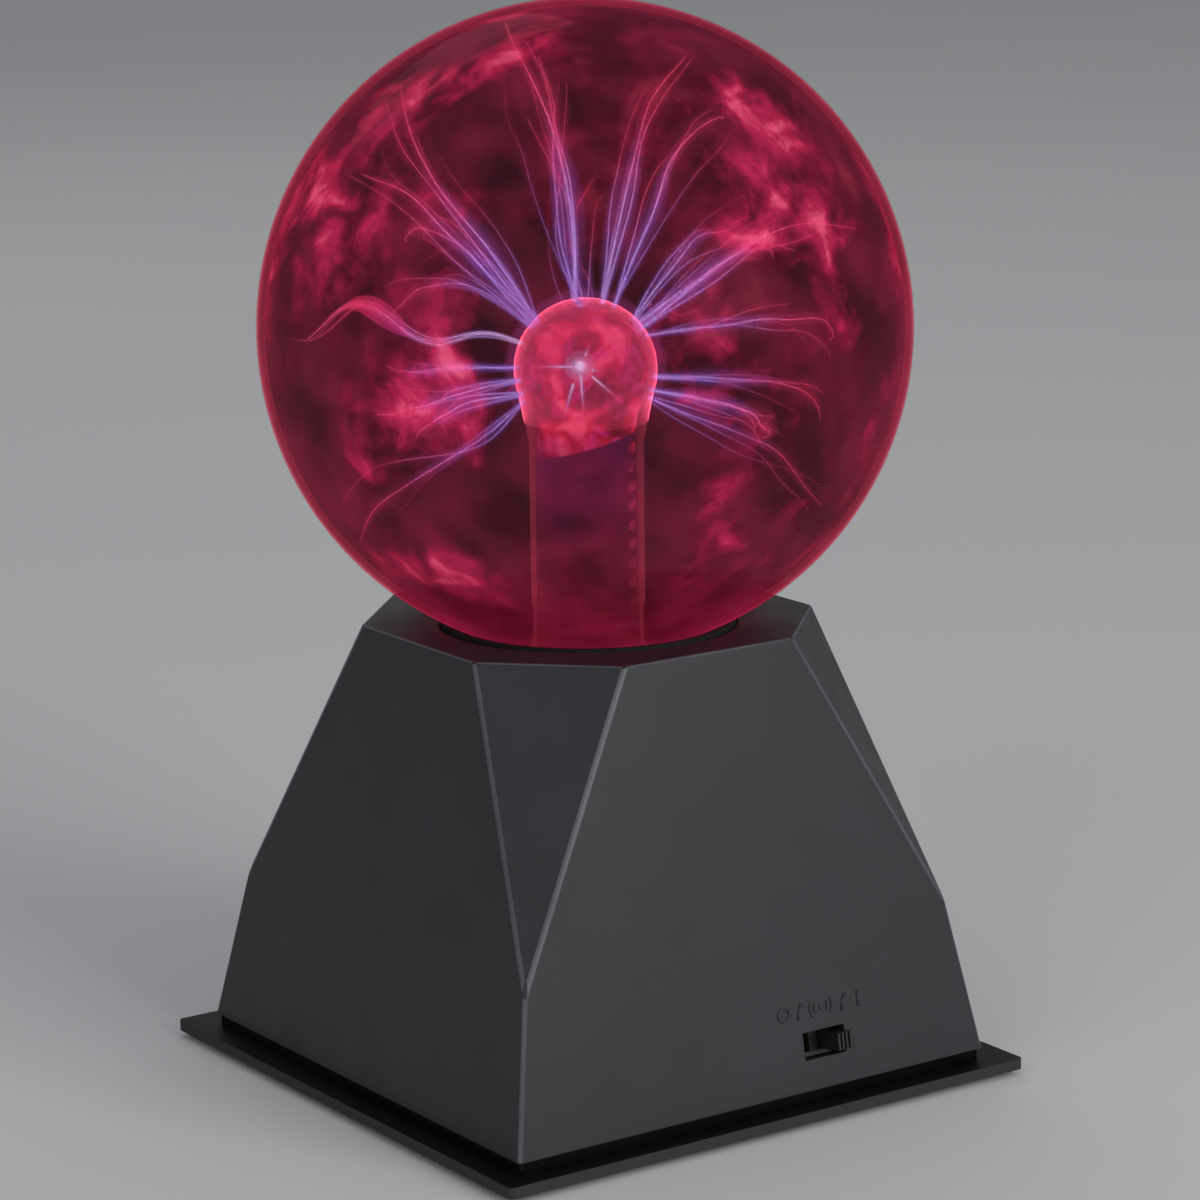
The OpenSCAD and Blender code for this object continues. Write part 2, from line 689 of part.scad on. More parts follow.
// Plug housings on the board, one for the power leads and one for the switch leads.
module wire_headers()
    color("#e8e4d8") {
        box_on_board(28.5, 29.5, [8, 5.6, 4.8]);
        box_on_board(switch_x + terminal_x[1], -24, [9, 5.6, 4.8]);
    }

module hv_lead()
    color("#b01d24") lead(hv_route, 1.6, [1, 0, 0]);

module positive_lead()
    color("#c4242a") lead(positive_route, 0.7, [0, 0.3, 1]);

module negative_lead()
    color("#1b1b1d") lead(negative_route, 0.7, [0, 0.3, 1]);

module switch_leads()
    color("#d9d9d9")
        for (k = [0:2])
            lead([for (p = switch_route) p + [switch_x + terminal_x[k], 0, 0]], 0.6, [1, 0, 0]);

// ================= what is drawn

housing();
base_plate();
base_screws();
rubber_feet();
neck_collar();
collar_screws();
globe_gasket();
globe_glass();
electrode_glass();
electrode_liner();
stem_plug();
hv_contact_clip();
switch_slider();
slider_contact();
switch_frame();
switch_board();
switch_terminals();
switch_screws();
jack_body();
jack_nut();
jack_pin();
jack_terminals();
circuit_board();
board_screws();
transformer_core();
transformer_coil();
driver_transistor();
heat_sink();
transistor_screw();
timer_chip();
electrolytic_capacitors();
film_capacitor();
resistors();
microphone();
wire_headers();
hv_lead();
positive_lead();
negative_lead();
switch_leads();
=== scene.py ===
"""Looks of the plasma ball: its plastic base, its globe with the glowing gas, and the pieces inside."""
import json
import math

import bmesh
import bpy
from mathutils import Matrix, Vector, noise

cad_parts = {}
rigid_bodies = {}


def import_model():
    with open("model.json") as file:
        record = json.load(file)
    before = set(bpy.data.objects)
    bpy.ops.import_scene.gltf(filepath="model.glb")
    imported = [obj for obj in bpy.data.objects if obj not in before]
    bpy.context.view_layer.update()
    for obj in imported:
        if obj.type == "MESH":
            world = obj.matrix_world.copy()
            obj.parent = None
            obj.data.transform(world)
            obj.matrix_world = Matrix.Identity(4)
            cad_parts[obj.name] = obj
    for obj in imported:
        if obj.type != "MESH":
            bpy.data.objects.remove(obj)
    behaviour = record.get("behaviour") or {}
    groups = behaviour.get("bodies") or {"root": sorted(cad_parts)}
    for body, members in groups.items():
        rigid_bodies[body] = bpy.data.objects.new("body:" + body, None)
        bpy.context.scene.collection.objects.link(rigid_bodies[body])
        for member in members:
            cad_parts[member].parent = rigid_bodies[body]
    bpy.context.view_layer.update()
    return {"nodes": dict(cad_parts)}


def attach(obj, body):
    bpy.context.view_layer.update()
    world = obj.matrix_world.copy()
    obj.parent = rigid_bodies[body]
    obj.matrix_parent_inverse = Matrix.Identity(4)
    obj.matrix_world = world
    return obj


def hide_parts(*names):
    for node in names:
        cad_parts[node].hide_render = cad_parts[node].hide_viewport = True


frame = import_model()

MM = 0.001
BASE = "base"

# Driving sizes of the part, in millimetres, as in the CAD model.
RIM_HALF, RIM_Z = 65.4, 6.1
TOP_HALF, TOP_Z = 47.4, 107.2
CORNER_CUT, APEX_Z = 24.1, 41.0
WALL, CORNER_WALL = 2.4, 2.9
CEILING_Z = TOP_Z - 2.6
OPENING_R, BEVEL_R, BEVEL_DEPTH = 34.5, 38.5, 1.3
GLOBE_R, GLOBE_Z = 75.0, 174.4
BULB_R, BULB_Z, TUBE_R = 16.3, 164.8, 13.0
SWITCH_X, SWITCH_Z = 19.8, 16.2
SLOT_HALF_X, SLOT_HALF_Y = 5.9, 3.2
JACK_X, JACK_HOLE_R = 0.0, 4.05
BOSS_XY, BOSS_R, BOSS_TOP = 54.0, 3.8, 44.0
PILOT_R, PILOT_DEPTH = 1.54, 14.0
GLOBE_CENTRE = Vector((0, 0, GLOBE_Z))
BULB_CENTRE = Vector((0, 0, BULB_Z))


# ---------------------------------------------------------------- mesh helpers

def new_object(name, vertices, faces):
    """A smooth-shaded mesh object from points in millimetres, its faces turned outwards."""
    mesh = bpy.data.meshes.new(name)
    mesh.from_pydata([[c * MM for c in v] for v in vertices], [], faces)
    whole = bmesh.new()
    whole.from_mesh(mesh)
    if whole.calc_volume(signed=True) < 0:
        bmesh.ops.reverse_faces(whole, faces=whole.faces)
    whole.to_mesh(mesh)
    whole.free()
    mesh.shade_smooth()
    obj = bpy.data.objects.new(name, mesh)
    bpy.context.scene.collection.objects.link(obj)
    return obj


def lathe(name, profile, steps=128, centre=(0, 0)):
    """Turns a closed outline of (radius, height) points round the vertical axis."""
    vertices, rings = [], []
    for radius, height in profile:
        if radius < 1e-6:
            rings.append([len(vertices)] * steps)
            vertices.append((centre[0], centre[1], height))
            continue
        rings.append(list(range(len(vertices), len(vertices) + steps)))
        for k in range(steps):
            angle = 2 * math.pi * k / steps
            x, y = radius * math.cos(angle), radius * math.sin(angle)
            vertices.append((centre[0] + x, centre[1] + y, height))
    faces = []
    for low, high in zip(rings, rings[1:] + rings[:1]):
        for k in range(steps):
            beside = (k + 1) % steps
            corners = [low[k], low[beside], high[beside], high[k]]
            face = [c for i, c in enumerate(corners) if c != corners[i - 1]]
            if len(face) >= 3:
                faces.append(face)
    return new_object(name, vertices, faces)


def arc(centre_r, centre_z, radius, start, end, steps):
    """Points of an arc in a lathe's outline, angles in degrees from the horizontal."""
    points = []
    for k in range(steps + 1):
        angle = math.radians(start + (end - start) * k / steps)
        points.append((centre_r + radius * math.cos(angle), centre_z + radius * math.sin(angle)))
    return points


def box_object(name, low, high):
    corners = [(x, y, z) for x in (low[0], high[0]) for y in (low[1], high[1]) for z in (low[2], high[2])]
    faces = [(0, 1, 3, 2), (4, 6, 7, 5), (0, 4, 5, 1), (2, 3, 7, 6), (0, 2, 6, 4), (1, 5, 7, 3)]
    return new_object(name, corners, faces)


def apply_modifiers(obj):
    """Replaces the object's mesh by what its modifiers make of it."""
    graph = bpy.context.evaluated_depsgraph_get()
    mesh = bpy.data.meshes.new_from_object(obj.evaluated_get(graph))
    obj.modifiers.clear()
    obj.data = mesh
    return obj


def boolean(obj, other, operation="DIFFERENCE"):
    """Cuts another object out of this one, or joins it on, and removes the other."""
    modifier = obj.modifiers.new("boolean", "BOOLEAN")
    modifier.operation = operation
    modifier.solver = "EXACT"
    modifier.object = other
    apply_modifiers(obj)
    bpy.data.objects.remove(other)


def soften(obj, width, angle=35):
    """Rounds an object's hard edges and keeps its flat faces flat."""
    weld = obj.modifiers.new("weld", "WELD")
    weld.merge_threshold = 0.002 * MM
    bevel = obj.modifiers.new("bevel", "BEVEL")
    bevel.width = width * MM
    bevel.segments = 2
    bevel.limit_method = "ANGLE"
    bevel.angle_limit = math.radians(angle)
    bevel.use_clamp_overlap = True
    bevel.harden_normals = False
    normals = obj.modifiers.new("normals", "WEIGHTED_NORMAL")
    normals.keep_sharp = True


def front_face(x, sign=1):
    """The sloping front wall's own frame at x: X along it, Y up it, Z out of it. Sign -1: the rear wall's."""
    slope = (RIM_HALF - TOP_HALF) / (TOP_Z - RIM_Z)
    tilt = math.atan(slope)
    half = RIM_HALF - slope * (SWITCH_Z - RIM_Z)
    turn = Matrix.Rotation(math.pi / 2 - tilt, 4, "X")
    place = Matrix.Translation(Vector((x, -half, SWITCH_Z)) * MM) @ turn
    return place if sign > 0 else Matrix.Rotation(math.pi, 4, "Z") @ place


def shell_outline(centre_z, inner, outer, high, steps, rim=()):
    """A lathe's outline for a hollow ball that is open below: down its outside, round the rim, up its inside.

    Inner and outer are each a radius and the angle down to which it runs; high is where both start.
    """
    outside = [(0, centre_z + outer[0])] + arc(0, centre_z, outer[0], high, outer[1], steps)
    inside = arc(0, centre_z, inner[0], inner[1], high, steps) + [(0, centre_z + inner[0])]
    return outside + list(rim) + inside


def settle(obj, matrix):
    """Moves the object's own vertices by a matrix, so the object itself stays at the origin."""
    obj.data.transform(matrix)
    obj.data.update()
    return obj


# ---------------------------------------------------------------- material helpers

class Shader:
    """A material's node tree, built one node at a time. Positions and heights in it are in metres."""

    def __init__(self, name):
        self.material = bpy.data.materials.new(name)
        self.material.use_nodes = True
        self.tree = self.material.node_tree
        self.tree.nodes.clear()

    def add(self, kind, inputs=None, output=0, **settings):
        """Adds a node; inputs maps a socket's name or number to a value or to another node's output."""
        node = self.tree.nodes.new("ShaderNode" + kind)
        for key, value in settings.items():
            setattr(node, key, value)
        for key, value in (inputs or {}).items():
            socket = node.inputs[key]
            if isinstance(value, bpy.types.NodeSocket):
                self.tree.links.new(value, socket)
            else:
                socket.default_value = value
        return node.outputs[output]

    def math(self, operation, a, b=0.0, clamp=False):
        return self.add("Math", {0: a, 1: b}, operation=operation, use_clamp=clamp)

    def position(self):
        return self.add("TexCoord", output="Object")

    def noise(self, scale, detail=3.0, rough=0.5, distortion=0.0, vector=None):
        """Noise with so many features to the metre."""
        inputs = {"Scale": scale, "Detail": detail, "Roughness": rough, "Distortion": distortion}
        inputs["Vector"] = vector or self.position()
        return self.add("TexNoise", inputs, output="Fac")

    def remap(self, value, low, high, to_low=0.0, to_high=1.0, smooth=False):
        inputs = {"Value": value, "From Min": low, "From Max": high, "To Min": to_low, "To Max": to_high}
        return self.add("MapRange", inputs, interpolation_type="SMOOTHSTEP" if smooth else "LINEAR")

    def mix(self, factor, a, b):
        """Blends two colours."""
        return self.add("Mix", {0: factor, 6: a, 7: b}, output=2, data_type="RGBA")

    def ramp(self, value, stops):
        colour = self.add("ValToRGB", {"Fac": value})
        elements = colour.node.color_ramp.elements
        while len(elements) < len(stops):
            elements.new(0.5)
        for element, (place, rgb) in zip(elements, stops):
            element.position = place
            element.color = (*rgb, 1)
        return colour

    def bump(self, height, distance, normal=None):
        """Relief so many millimetres deep."""
        inputs = {"Height": height, "Distance": distance * MM, "Strength": 1.0}
        if normal:
            inputs["Normal"] = normal
        return self.add("Bump", inputs)

    def finish(self, surface, volume=None):
        output = self.tree.nodes.new("ShaderNodeOutputMaterial")
        self.tree.links.new(surface, output.inputs["Surface"])
        if volume:
            self.tree.links.new(volume, output.inputs["Volume"])
        return self.material

    def glowing_volume(self, colour, strength, taken=None, density=0.0):
        """Even light given off inside a closed mesh, strongest where the mesh is deep, with some taken up."""
        glow = self.add("Emission", {"Color": rgba(colour), "Strength": strength})
        if not density:
            return glow
        absorb = self.add("VolumeAbsorption", {"Color": rgba(taken), "Density": density})
        return self.add("AddShader", {0: glow, 1: absorb})

    def glowing_surface(self, colour, strength, alpha, base=(0, 0, 0)):
        """A surface that gives off light and reflects next to none; alpha lets what is behind it show."""
        return self.principled(
            base_color=rgba(base), roughness=1.0, specular_ior_level=0.0,
            emission_color=colour, emission_strength=strength, alpha=alpha)

    def principled(self, **inputs):
        named = {key.replace("_", " ").title().replace("Ior", "IOR"): value for key, value in inputs.items()}
        return self.add("BsdfPrincipled", named)


def rgba(colour, shade=1.0):
    """The colour with its alpha, made darker or paler by a factor."""
    return (*[min(1.0, c * shade) for c in colour], 1.0)


def moulded_plastic(name, colour, rough, grain=0.02, wave=0.0, highlight_strength=0.15):
    """Moulded plastic: a fine grain, uneven gloss, slow waviness of the skin, and painted highlights as paler
    strips along its edges.
    """
    s = Shader(name)
    uneven = s.noise(38, 4, 0.6)
    # Painted highlight: sharp edges, and the middle strips of rounded edges that carry the attribute edge,
    # are made paler to stand for light caught along them.
    edges = s.add("NewGeometry", output="Pointiness")
    edge_highlight = s.math("MULTIPLY", s.remap(edges, 0.52, 0.60), highlight_strength, clamp=True)
    highlight_strip = s.add("Attribute", output="Fac", attribute_name="edge")
    edge_highlight = s.math("MAXIMUM", edge_highlight, s.math("MULTIPLY", highlight_strip, s.remap(uneven, 0.3, 0.7, 0.6, 1.0)))
    highlight_colour = tuple(min(1.0, c * 4 + 0.04) for c in colour)
    shade = s.mix(s.remap(uneven, 0.3, 0.7), rgba(colour, 0.86), rgba(colour, 1.14))
    base = s.mix(edge_highlight, shade, rgba(highlight_colour))
    gloss = s.remap(s.noise(90, 5, 0.65), 0.25, 0.75, rough - 0.05, rough + 0.07)
    normal = s.bump(s.noise(2600, 2, 0.5), grain)
    if wave:
        normal = s.bump(s.noise(28, 2, 0.5), wave, normal=normal)
    return s.finish(s.principled(base_color=base, roughness=gloss, normal=normal))


def sheet_plastic(name):
    """Black sheet with polished faces, and matt saw-cut side faces whose paler grey is partly their finish
    and partly painted light on the sides.
    """
    s = Shader(name)
    place = s.add("SeparateXYZ", {0: s.position()})
    x, y = place, place.node.outputs[1]
    out = s.math("MAXIMUM", s.math("ABSOLUTE", x), s.math("ABSOLUTE", y))
    upright = s.add("SeparateXYZ", {0: s.add("NewGeometry", output="Normal")}, output="Z")
    side = s.remap(s.math("ABSOLUTE", upright), 0.3, 0.6, 1.0, 0.0)
    # The side faces' paler grey: partly a matt saw-cut finish, partly painted light that the sides catch.
    sawn_lit_side = s.math("MULTIPLY", side, s.remap(out, 0.0700, 0.0712))
    marks = s.noise(600, 4, 0.7)
    smear = s.noise(30, 4, 0.6)
    sawn_lit_grey = s.mix(marks, (0.036, 0.036, 0.038, 1), (0.056, 0.056, 0.058, 1))
    black = s.mix(smear, (0.003, 0.003, 0.0035, 1), (0.005, 0.005, 0.0055, 1))
    gloss = s.mix(sawn_lit_side, s.remap(smear, 0.3, 0.7, 0.28, 0.4), (0.6, 0.6, 0.6, 1))
    normal = s.bump(marks, 0.006)
    surface = s.principled(
        base_color=s.mix(sawn_lit_side, black, sawn_lit_grey), roughness=gloss, specular_ior_level=0.12, normal=normal)
    return s.finish(surface)


def metal(name, colour, rough, brushed=0.0):
    """Plated or drawn metal, with fine scratches and small changes of gloss."""
    s = Shader(name)
    stretched = s.add("Mapping", {"Vector": s.position(), "Scale": (1, 1, 12)})
    scratches = s.noise(700, 4, 0.7, vector=stretched)
    gloss = s.remap(scratches, 0.3, 0.7, max(0.05, rough - 0.08), rough + 0.1)
    stain = s.mix(s.remap(s.noise(160, 3), 0.35, 0.7), rgba(colour), rgba(colour, 0.82))
    normal = s.bump(scratches, 0.01 + brushed)
    return s.finish(s.principled(base_color=stain, metallic=1.0, roughness=gloss, normal=normal))


def rubber(name, colour):
    s = Shader(name)
    base = s.mix(s.noise(300, 4), rgba(colour, 0.8), rgba([c * 1.25 + 0.004 for c in colour]))
    normal = s.bump(s.noise(1800, 3), 0.03)
    return s.finish(s.principled(base_color=base, roughness=0.82, normal=normal))


def globe_shader():
    """Thin blown glass: clear from the front, glossier at grazing angles, its edge full of the gas's glow,
    and its gloss tinted pink as a painted reflection of that glow.
    """
    s = Shader("globe_glass")
    ripple = s.bump(s.noise(22, 1, 0.4), 0.05)
    graze = s.math("POWER", s.add("LayerWeight", {"Blend": 0.5, "Normal": ripple}, output="Facing"), 4.0)
    # Painted reflection: the gloss is tinted pink to add the gas's colour at the glass's edge.
    gloss = s.add("BsdfGlossy", {"Color": (1, 0.7, 0.8, 1), "Roughness": 0.05, "Normal": ripple})
    through = s.add("BsdfTransparent", {"Color": (1, 1, 1, 1)})
    surface = s.add("MixShader", {0: s.remap(graze, 0.0, 1.0, 0.001, 0.08), 1: through, 2: gloss})
    return s.finish(surface, s.glowing_volume((1.0, 0.05, 0.22), 9, (0.5, 0.0, 0.0), 150))


# ---------------------------------------------------------------- camera, floor and lights

def place_camera():
    """A long lens a metre away, turned to the front face's left and a little above."""
    azimuth, elevation, roll = math.radians(-34.8), math.radians(12.6), math.radians(-0.66)
    target = Vector((0, 0, 110.7)) * MM
    distance = 970 * MM
    back = Vector((
        math.sin(azimuth) * math.cos(elevation),
        -math.cos(azimuth) * math.cos(elevation),
        math.sin(elevation),
    ))
    right = Vector((math.cos(azimuth), math.sin(azimuth), 0))
    up = back.cross(right)
    side = right * math.cos(roll) + up * math.sin(roll)
    top = up * math.cos(roll) - right * math.sin(roll)
    data = bpy.data.cameras.new("camera")
    data.sensor_width = 36
    data.lens = 125.5
    data.shift_x = 0.0098
    camera = bpy.data.objects.new("camera", data)
    turn = Matrix((side, top, back)).transposed()
    camera.matrix_world = Matrix.Translation(target + back * distance) @ turn.to_4x4()
    bpy.context.scene.collection.objects.link(camera)
    bpy.context.scene.camera = camera


def area_light(name, place, aim, size, power, colour=(1, 1, 1)):
    data = bpy.data.lights.new(name, "AREA")
    data.shape = "RECTANGLE"
    data.size, data.size_y = size
    data.energy = power
    data.color = colour
    light = bpy.data.objects.new(name, data)
    light.location = place
    light.rotation_euler = (Vector(aim) - Vector(place)).to_track_quat("-Z", "Y").to_euler()
    bpy.context.scene.collection.objects.link(light)


def build_stage():
    far = 4000
    corners = [(-far, -far, 0), (far, -far, 0), (far, far, 0), (-far, far, 0)]
    floor = new_object("floor", corners, [(0, 1, 2, 3)])
    s = Shader("floor_paper")
    tone = s.mix(s.noise(3, 3), (0.86, 0.86, 0.87, 1), (0.90, 0.90, 0.90, 1))
    floor.data.materials.append(s.finish(s.principled(base_color=tone, roughness=0.85)))
    world = bpy.data.worlds.new("studio")
    bpy.context.scene.world = world
    world.use_nodes = True
    world.node_tree.nodes["Background"].inputs["Color"].default_value = (0.75, 0.77, 0.8, 1)
    world.node_tree.nodes["Background"].inputs["Strength"].default_value = 0.3
    bpy.context.scene.view_settings.view_transform = "Standard"
    bpy.context.scene.cycles.transparent_max_bounces = 40
    aim = (0, 0, 0.1)
    area_light("key", (0.45, -1.75, 0.75), aim, (1.1, 1.1), 16, (1.0, 0.98, 0.98))
    area_light("fill", (-1.5, -0.6, 0.9), aim, (1.2, 1.2), 3.6, (0.95, 0.97, 1.0))
    area_light("back", (0.2, 1.6, 1.4), aim, (1.4, 0.8), 2.6)


# ---------------------------------------------------------------- housing

def pyramid(name, z0, z1, side=0.0, corner=0.0):
    """The tapered body between two heights: square below, with a facet on each corner from its apex up."""
    slope = (RIM_HALF - TOP_HALF) / (TOP_Z - RIM_Z)
    apex_half = RIM_HALF - slope * (APEX_Z - RIM_Z)
    top_u = (2 * TOP_HALF - CORNER_CUT) / math.sqrt(2)
    corner_slope = (apex_half * math.sqrt(2) - top_u) / (TOP_Z - APEX_Z)

    def half(z):
        return RIM_HALF - slope * (z - RIM_Z) - side

    def facet(z):
        return top_u + corner_slope * (TOP_Z - z) - corner

    gap = facet(z0) - half(z0) * math.sqrt(2)
    apex = z0 + gap / (corner_slope - slope * math.sqrt(2))
    quarter = [(half(z0), half(z0), z0), (half(apex), half(apex), apex)]
    cut = facet(z1) * math.sqrt(2) - half(z1)
    quarter += [(half(z1), cut, z1), (cut, half(z1), z1)]
    vertices = []
    for turn in range(4):
        for x, y, z in quarter:
            for _ in range(turn):
                x, y = -y, x
            vertices.append((x, y, z))
    faces = [[12, 8, 4, 0], [4 * q + k for q in range(4) for k in (2, 3)]]
    for q in range(4):
        a, b = 4 * q, 4 * ((q + 1) % 4)
        faces.append([a + 1, a + 2, a + 3])
        faces.append([a, b, b + 1, b + 2, a + 3, a + 1])
    obj = new_object(name, vertices, faces)
    mesh = bmesh.new()
    mesh.from_mesh(obj.data)
    bmesh.ops.recalc_face_normals(mesh, faces=mesh.faces)
    mesh.to_mesh(obj.data)
    mesh.free()
    return obj


def round_body_edges(obj):
    """Rounds the long edges well, and the rims a little."""
    mesh = bmesh.new()
    mesh.from_mesh(obj.data)
    weight = mesh.edges.layers.float.new("bevel_weight_edge")
    for edge in mesh.edges:
        heights = [v.co.z / MM for v in edge.verts]
        level = abs(heights[0] - heights[1]) < 0.1
        edge[weight] = 1.0 if not level else (0.5 if heights[0] > APEX_Z else 0.25)
    mesh.to_mesh(obj.data)
    mesh.free()
    bevel = obj.modifiers.new("bevel", "BEVEL")
    bevel.limit_method = "WEIGHT"
    bevel.width = 1.05 * MM
    bevel.segments = 5
    return apply_modifiers(obj)


def mark_highlight_strips(obj, widest=1.1):
    """Gives the middle strip of each rounded edge the attribute edge, where the plastic paints a highlight
    line.
    """
    whole = bmesh.new()
    whole.from_mesh(obj.data)
    narrow, long_edges = set(), {}
    for face in whole.faces:
        longest = max(e.calc_length() for e in face.edges)
        width = face.calc_area() / longest
        if width < widest * MM and longest > 4 * width:
            narrow.add(face.index)
            long_edges[face.index] = [e for e in face.edges if e.calc_length() > 0.6 * longest]
    values = [0.0] * len(whole.faces)
    for index, edges in long_edges.items():
        if all(face.index in narrow for edge in edges for face in edge.link_faces):
            values[index] = 1.0
    whole.free()
    obj.data.attributes.new("edge", "FLOAT", "FACE").data.foreach_set("value", values)


def build_housing(material):
    body = round_body_edges(pyramid("housing_shell", RIM_Z, TOP_Z))
    boolean(body, pyramid("cavity", RIM_Z - 5, CEILING_Z, WALL, CORNER_WALL))
    for sx in (-1, 1):
        for sy in (-1, 1):
            centre = (BOSS_XY * sx, BOSS_XY * sy)
            boss = [(0, RIM_Z), (BOSS_R, RIM_Z), (BOSS_R, BOSS_TOP), (0, BOSS_TOP)]
            boolean(body, lathe("boss", boss, 32, centre), "UNION")
            end = RIM_Z + PILOT_DEPTH
            hole = [(0, RIM_Z - 1), (PILOT_R, RIM_Z - 1), (PILOT_R, end), (0, end)]
            boolean(body, lathe("hole", hole, 24, centre))
    opening = [(0, CEILING_Z - 1), (OPENING_R, CEILING_Z - 1), (OPENING_R, TOP_Z - BEVEL_DEPTH - 0.3)]
    opening += [(OPENING_R + 0.1, TOP_Z - BEVEL_DEPTH), (BEVEL_R - 0.35, TOP_Z - 0.16)]
    opening += [(BEVEL_R, TOP_Z - 0.06), (BEVEL_R + 0.4, TOP_Z), (BEVEL_R + 0.4, TOP_Z + 2), (0, TOP_Z + 2)]
    boolean(body, lathe("opening", opening, 192))
    slot = box_object("slot", (-SLOT_HALF_X, -SLOT_HALF_Y, -7), (SLOT_HALF_X, SLOT_HALF_Y, 4))
    boolean(body, settle(slot, front_face(SWITCH_X)))
    hole = lathe("hole", [(0, -7), (JACK_HOLE_R, -7), (JACK_HOLE_R, 4), (0, 4)], 48)
    boolean(body, settle(hole, front_face(-JACK_X, -1)))
    # The middle strips of the rounded edges get the attribute for painted highlight lines.
    mark_highlight_strips(body)
    soften(body, 0.18, 40)
    body.data.materials.clear()
    body.data.materials.append(material)
    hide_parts("housing")
    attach(body, BASE)


# ---------------------------------------------------------------- marks above the switch

def ribbon(name, path, width, height, closed=False, steps=12):
    """A low rounded rib along a path in the XY plane, half of it sunk below the plane."""
    count = len(path)
    vertices = []
    for i, point in enumerate(path):
        before = path[i - 1] if (i or closed) else point
        after = path[(i + 1) % count] if (i + 1 < count or closed) else point
        along = Vector((after[0] - before[0], after[1] - before[1])).normalized()
        across = Vector((-along.y, along.x))
        for k in range(steps):
            angle = 2 * math.pi * k / steps
            x = math.copysign(abs(math.cos(angle)) ** 0.6, math.cos(angle)) * width / 2
            z = math.copysign(abs(math.sin(angle)) ** 0.6, math.sin(angle)) * height
            vertices.append((point[0] + across.x * x, point[1] + across.y * x, z))
    faces = []
    for i in range(count if closed else count - 1):
        a, b = i * steps, (i + 1) % count * steps
        for k in range(steps):
            beside = (k + 1) % steps
            faces.append((a + k, b + k, b + beside, a + beside))
    if not closed:
        faces.append(tuple(range(steps)))
        faces.append(tuple(reversed(range((count - 1) * steps, count * steps))))
    return new_object(name, vertices, faces)


def circle_path(x, y, radius, start, end, steps):
    span = [math.radians(start + (end - start) * k / steps) for k in range(steps + 1)]
    return [(x + radius * math.cos(a), y + radius * math.sin(a)) for a in span]


def join(objects, name):
    """Makes one object of several."""
    whole = bmesh.new()
    for obj in objects:
        whole.from_mesh(obj.data)
        bpy.data.objects.remove(obj)
    mesh = bpy.data.meshes.new(name)
    whole.to_mesh(mesh)
    whole.free()
    mesh.shade_smooth()
    obj = bpy.data.objects.new(name, mesh)
    bpy.context.scene.collection.objects.link(obj)
    return obj


def build_marks(material):
    """Ring, stroke, sound waves, stroke and bar: off, audio and on without any lettering."""
    y, size, line, proud = 8.2, 1.8, 0.6, 0.35
    ring = circle_path(-10.6, y, size - line / 2, 0, 360 - 360 / 40, 39)
    parts = [ribbon("ring", ring, line, proud, closed=True)]
    for x in (-6.2, 6.2):
        lean = size * math.tan(math.radians(20))
        parts.append(ribbon("stroke", [(x - lean, y - size), (x, y), (x + lean, y + size)], line, proud))
    parts.append(ribbon("bar", [(10.6, y - size), (10.6, y), (10.6, y + size)], line, proud))
    parts.append(ribbon("dot", circle_path(0, y, 0.3, 0, 324, 9), line, proud, closed=True))
    for radius, spread in ((1.8, 33), (3.1, 33)):
        for middle in (0, 180):
            path = circle_path(0, y, radius, middle - spread, middle + spread, 14)
            parts.append(ribbon("wave", path, line, proud))
    marks = settle(join(parts, "switch_marks"), front_face(SWITCH_X))
    marks.data.materials.append(material)
    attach(marks, BASE)


# ---------------------------------------------------------------- the glowing gas

def direction(longitude, latitude):
    """A unit vector; longitude is counted round +Z from +X, latitude up from level, both in degrees."""
    lon, lat = math.radians(longitude), math.radians(latitude)
    return Vector((math.cos(lat) * math.cos(lon), math.cos(lat) * math.sin(lon), math.sin(lat)))


# Each filament: where it leaves the bulb, where it meets the glass, how far it bows to each side and
# curls in millimetres, its brightness, how whitish it is, and how many degrees its strands fan out.
# Directions are longitude and latitude.
FILAMENTS = [
    ((137, 45), (164, 53), (-2, 3, 0), 1.0, 0.3, 6),
    ((145, 41), (-179, 34), (2, 3, 0), 0.9, 0.2, 8),
    ((100, 77), (134, 77), (3, -2, 0), 1.2, 0.5, 4),
    ((-140, 75), (-142, 65), (-2, 2, 0), 0.55, 0.1, 9),
    ((-6, 73), (20, 55), (3, 2, 0), 1.2, 0.5, 4),
    ((-17, 64), (-89, 47), (-2, 3, 0), 0.9, 0.3, 6),
    ((-28, 41), (-10, 16), (3, 2, 0), 1.1, 0.4, 4),
    ((-27, 45), (19, 13), (3, -2, 0), 0.8, 0.3, 7),
    ((-35, 36), (-88, 19), (-2, 3, 0), 0.8, 0.3, 7),
    ((-31, 29), (-78, 4), (2, 2, 0), 0.6, 0.2, 7),
    ((-37, -6), (-2, -22), (2, 2, 0), 0.9, 0.2, 5),
    ((-45, -16), (-93, -13), (-2, 2, 0), 0.9, 0.2, 6),
    ((150, 3), (99, -13), (2, -2, 0), 0.8, 0.2, 4),
    ((160, -6), (-164, -8), (-2, -2, 0), 0.9, 0.2, 6),
    ((160, -18), (-155, -12), (2, -2, 0), 0.9, 0.2, 6),
    ((142, 23), (163, 3), (0, 0, 4.5), 1.9, 1.0, 0.7),
    ((145, 39), (-162, 11), (2, -2, 0), 0.5, 0.1, 4),
    ((140, 46), (-160, 22), (2, 2, 0), 0.6, 0.1, 6),
    ((60, 30), (52, 22), (3, 3, 0), 0.8, 0.3, 7),
    ((75, -10), (72, -22), (-3, 2, 0), 0.7, 0.2, 6),
    ((20, 10), (32, -4), (3, -2, 0), 0.7, 0.2, 6),
    ((-38, -24), (-20, -38), (2, 2, 0), 0.6, 0.1, 7),
    ((148, -26), (160, -40), (-2, 2, 0), 0.6, 0.1, 7),
]
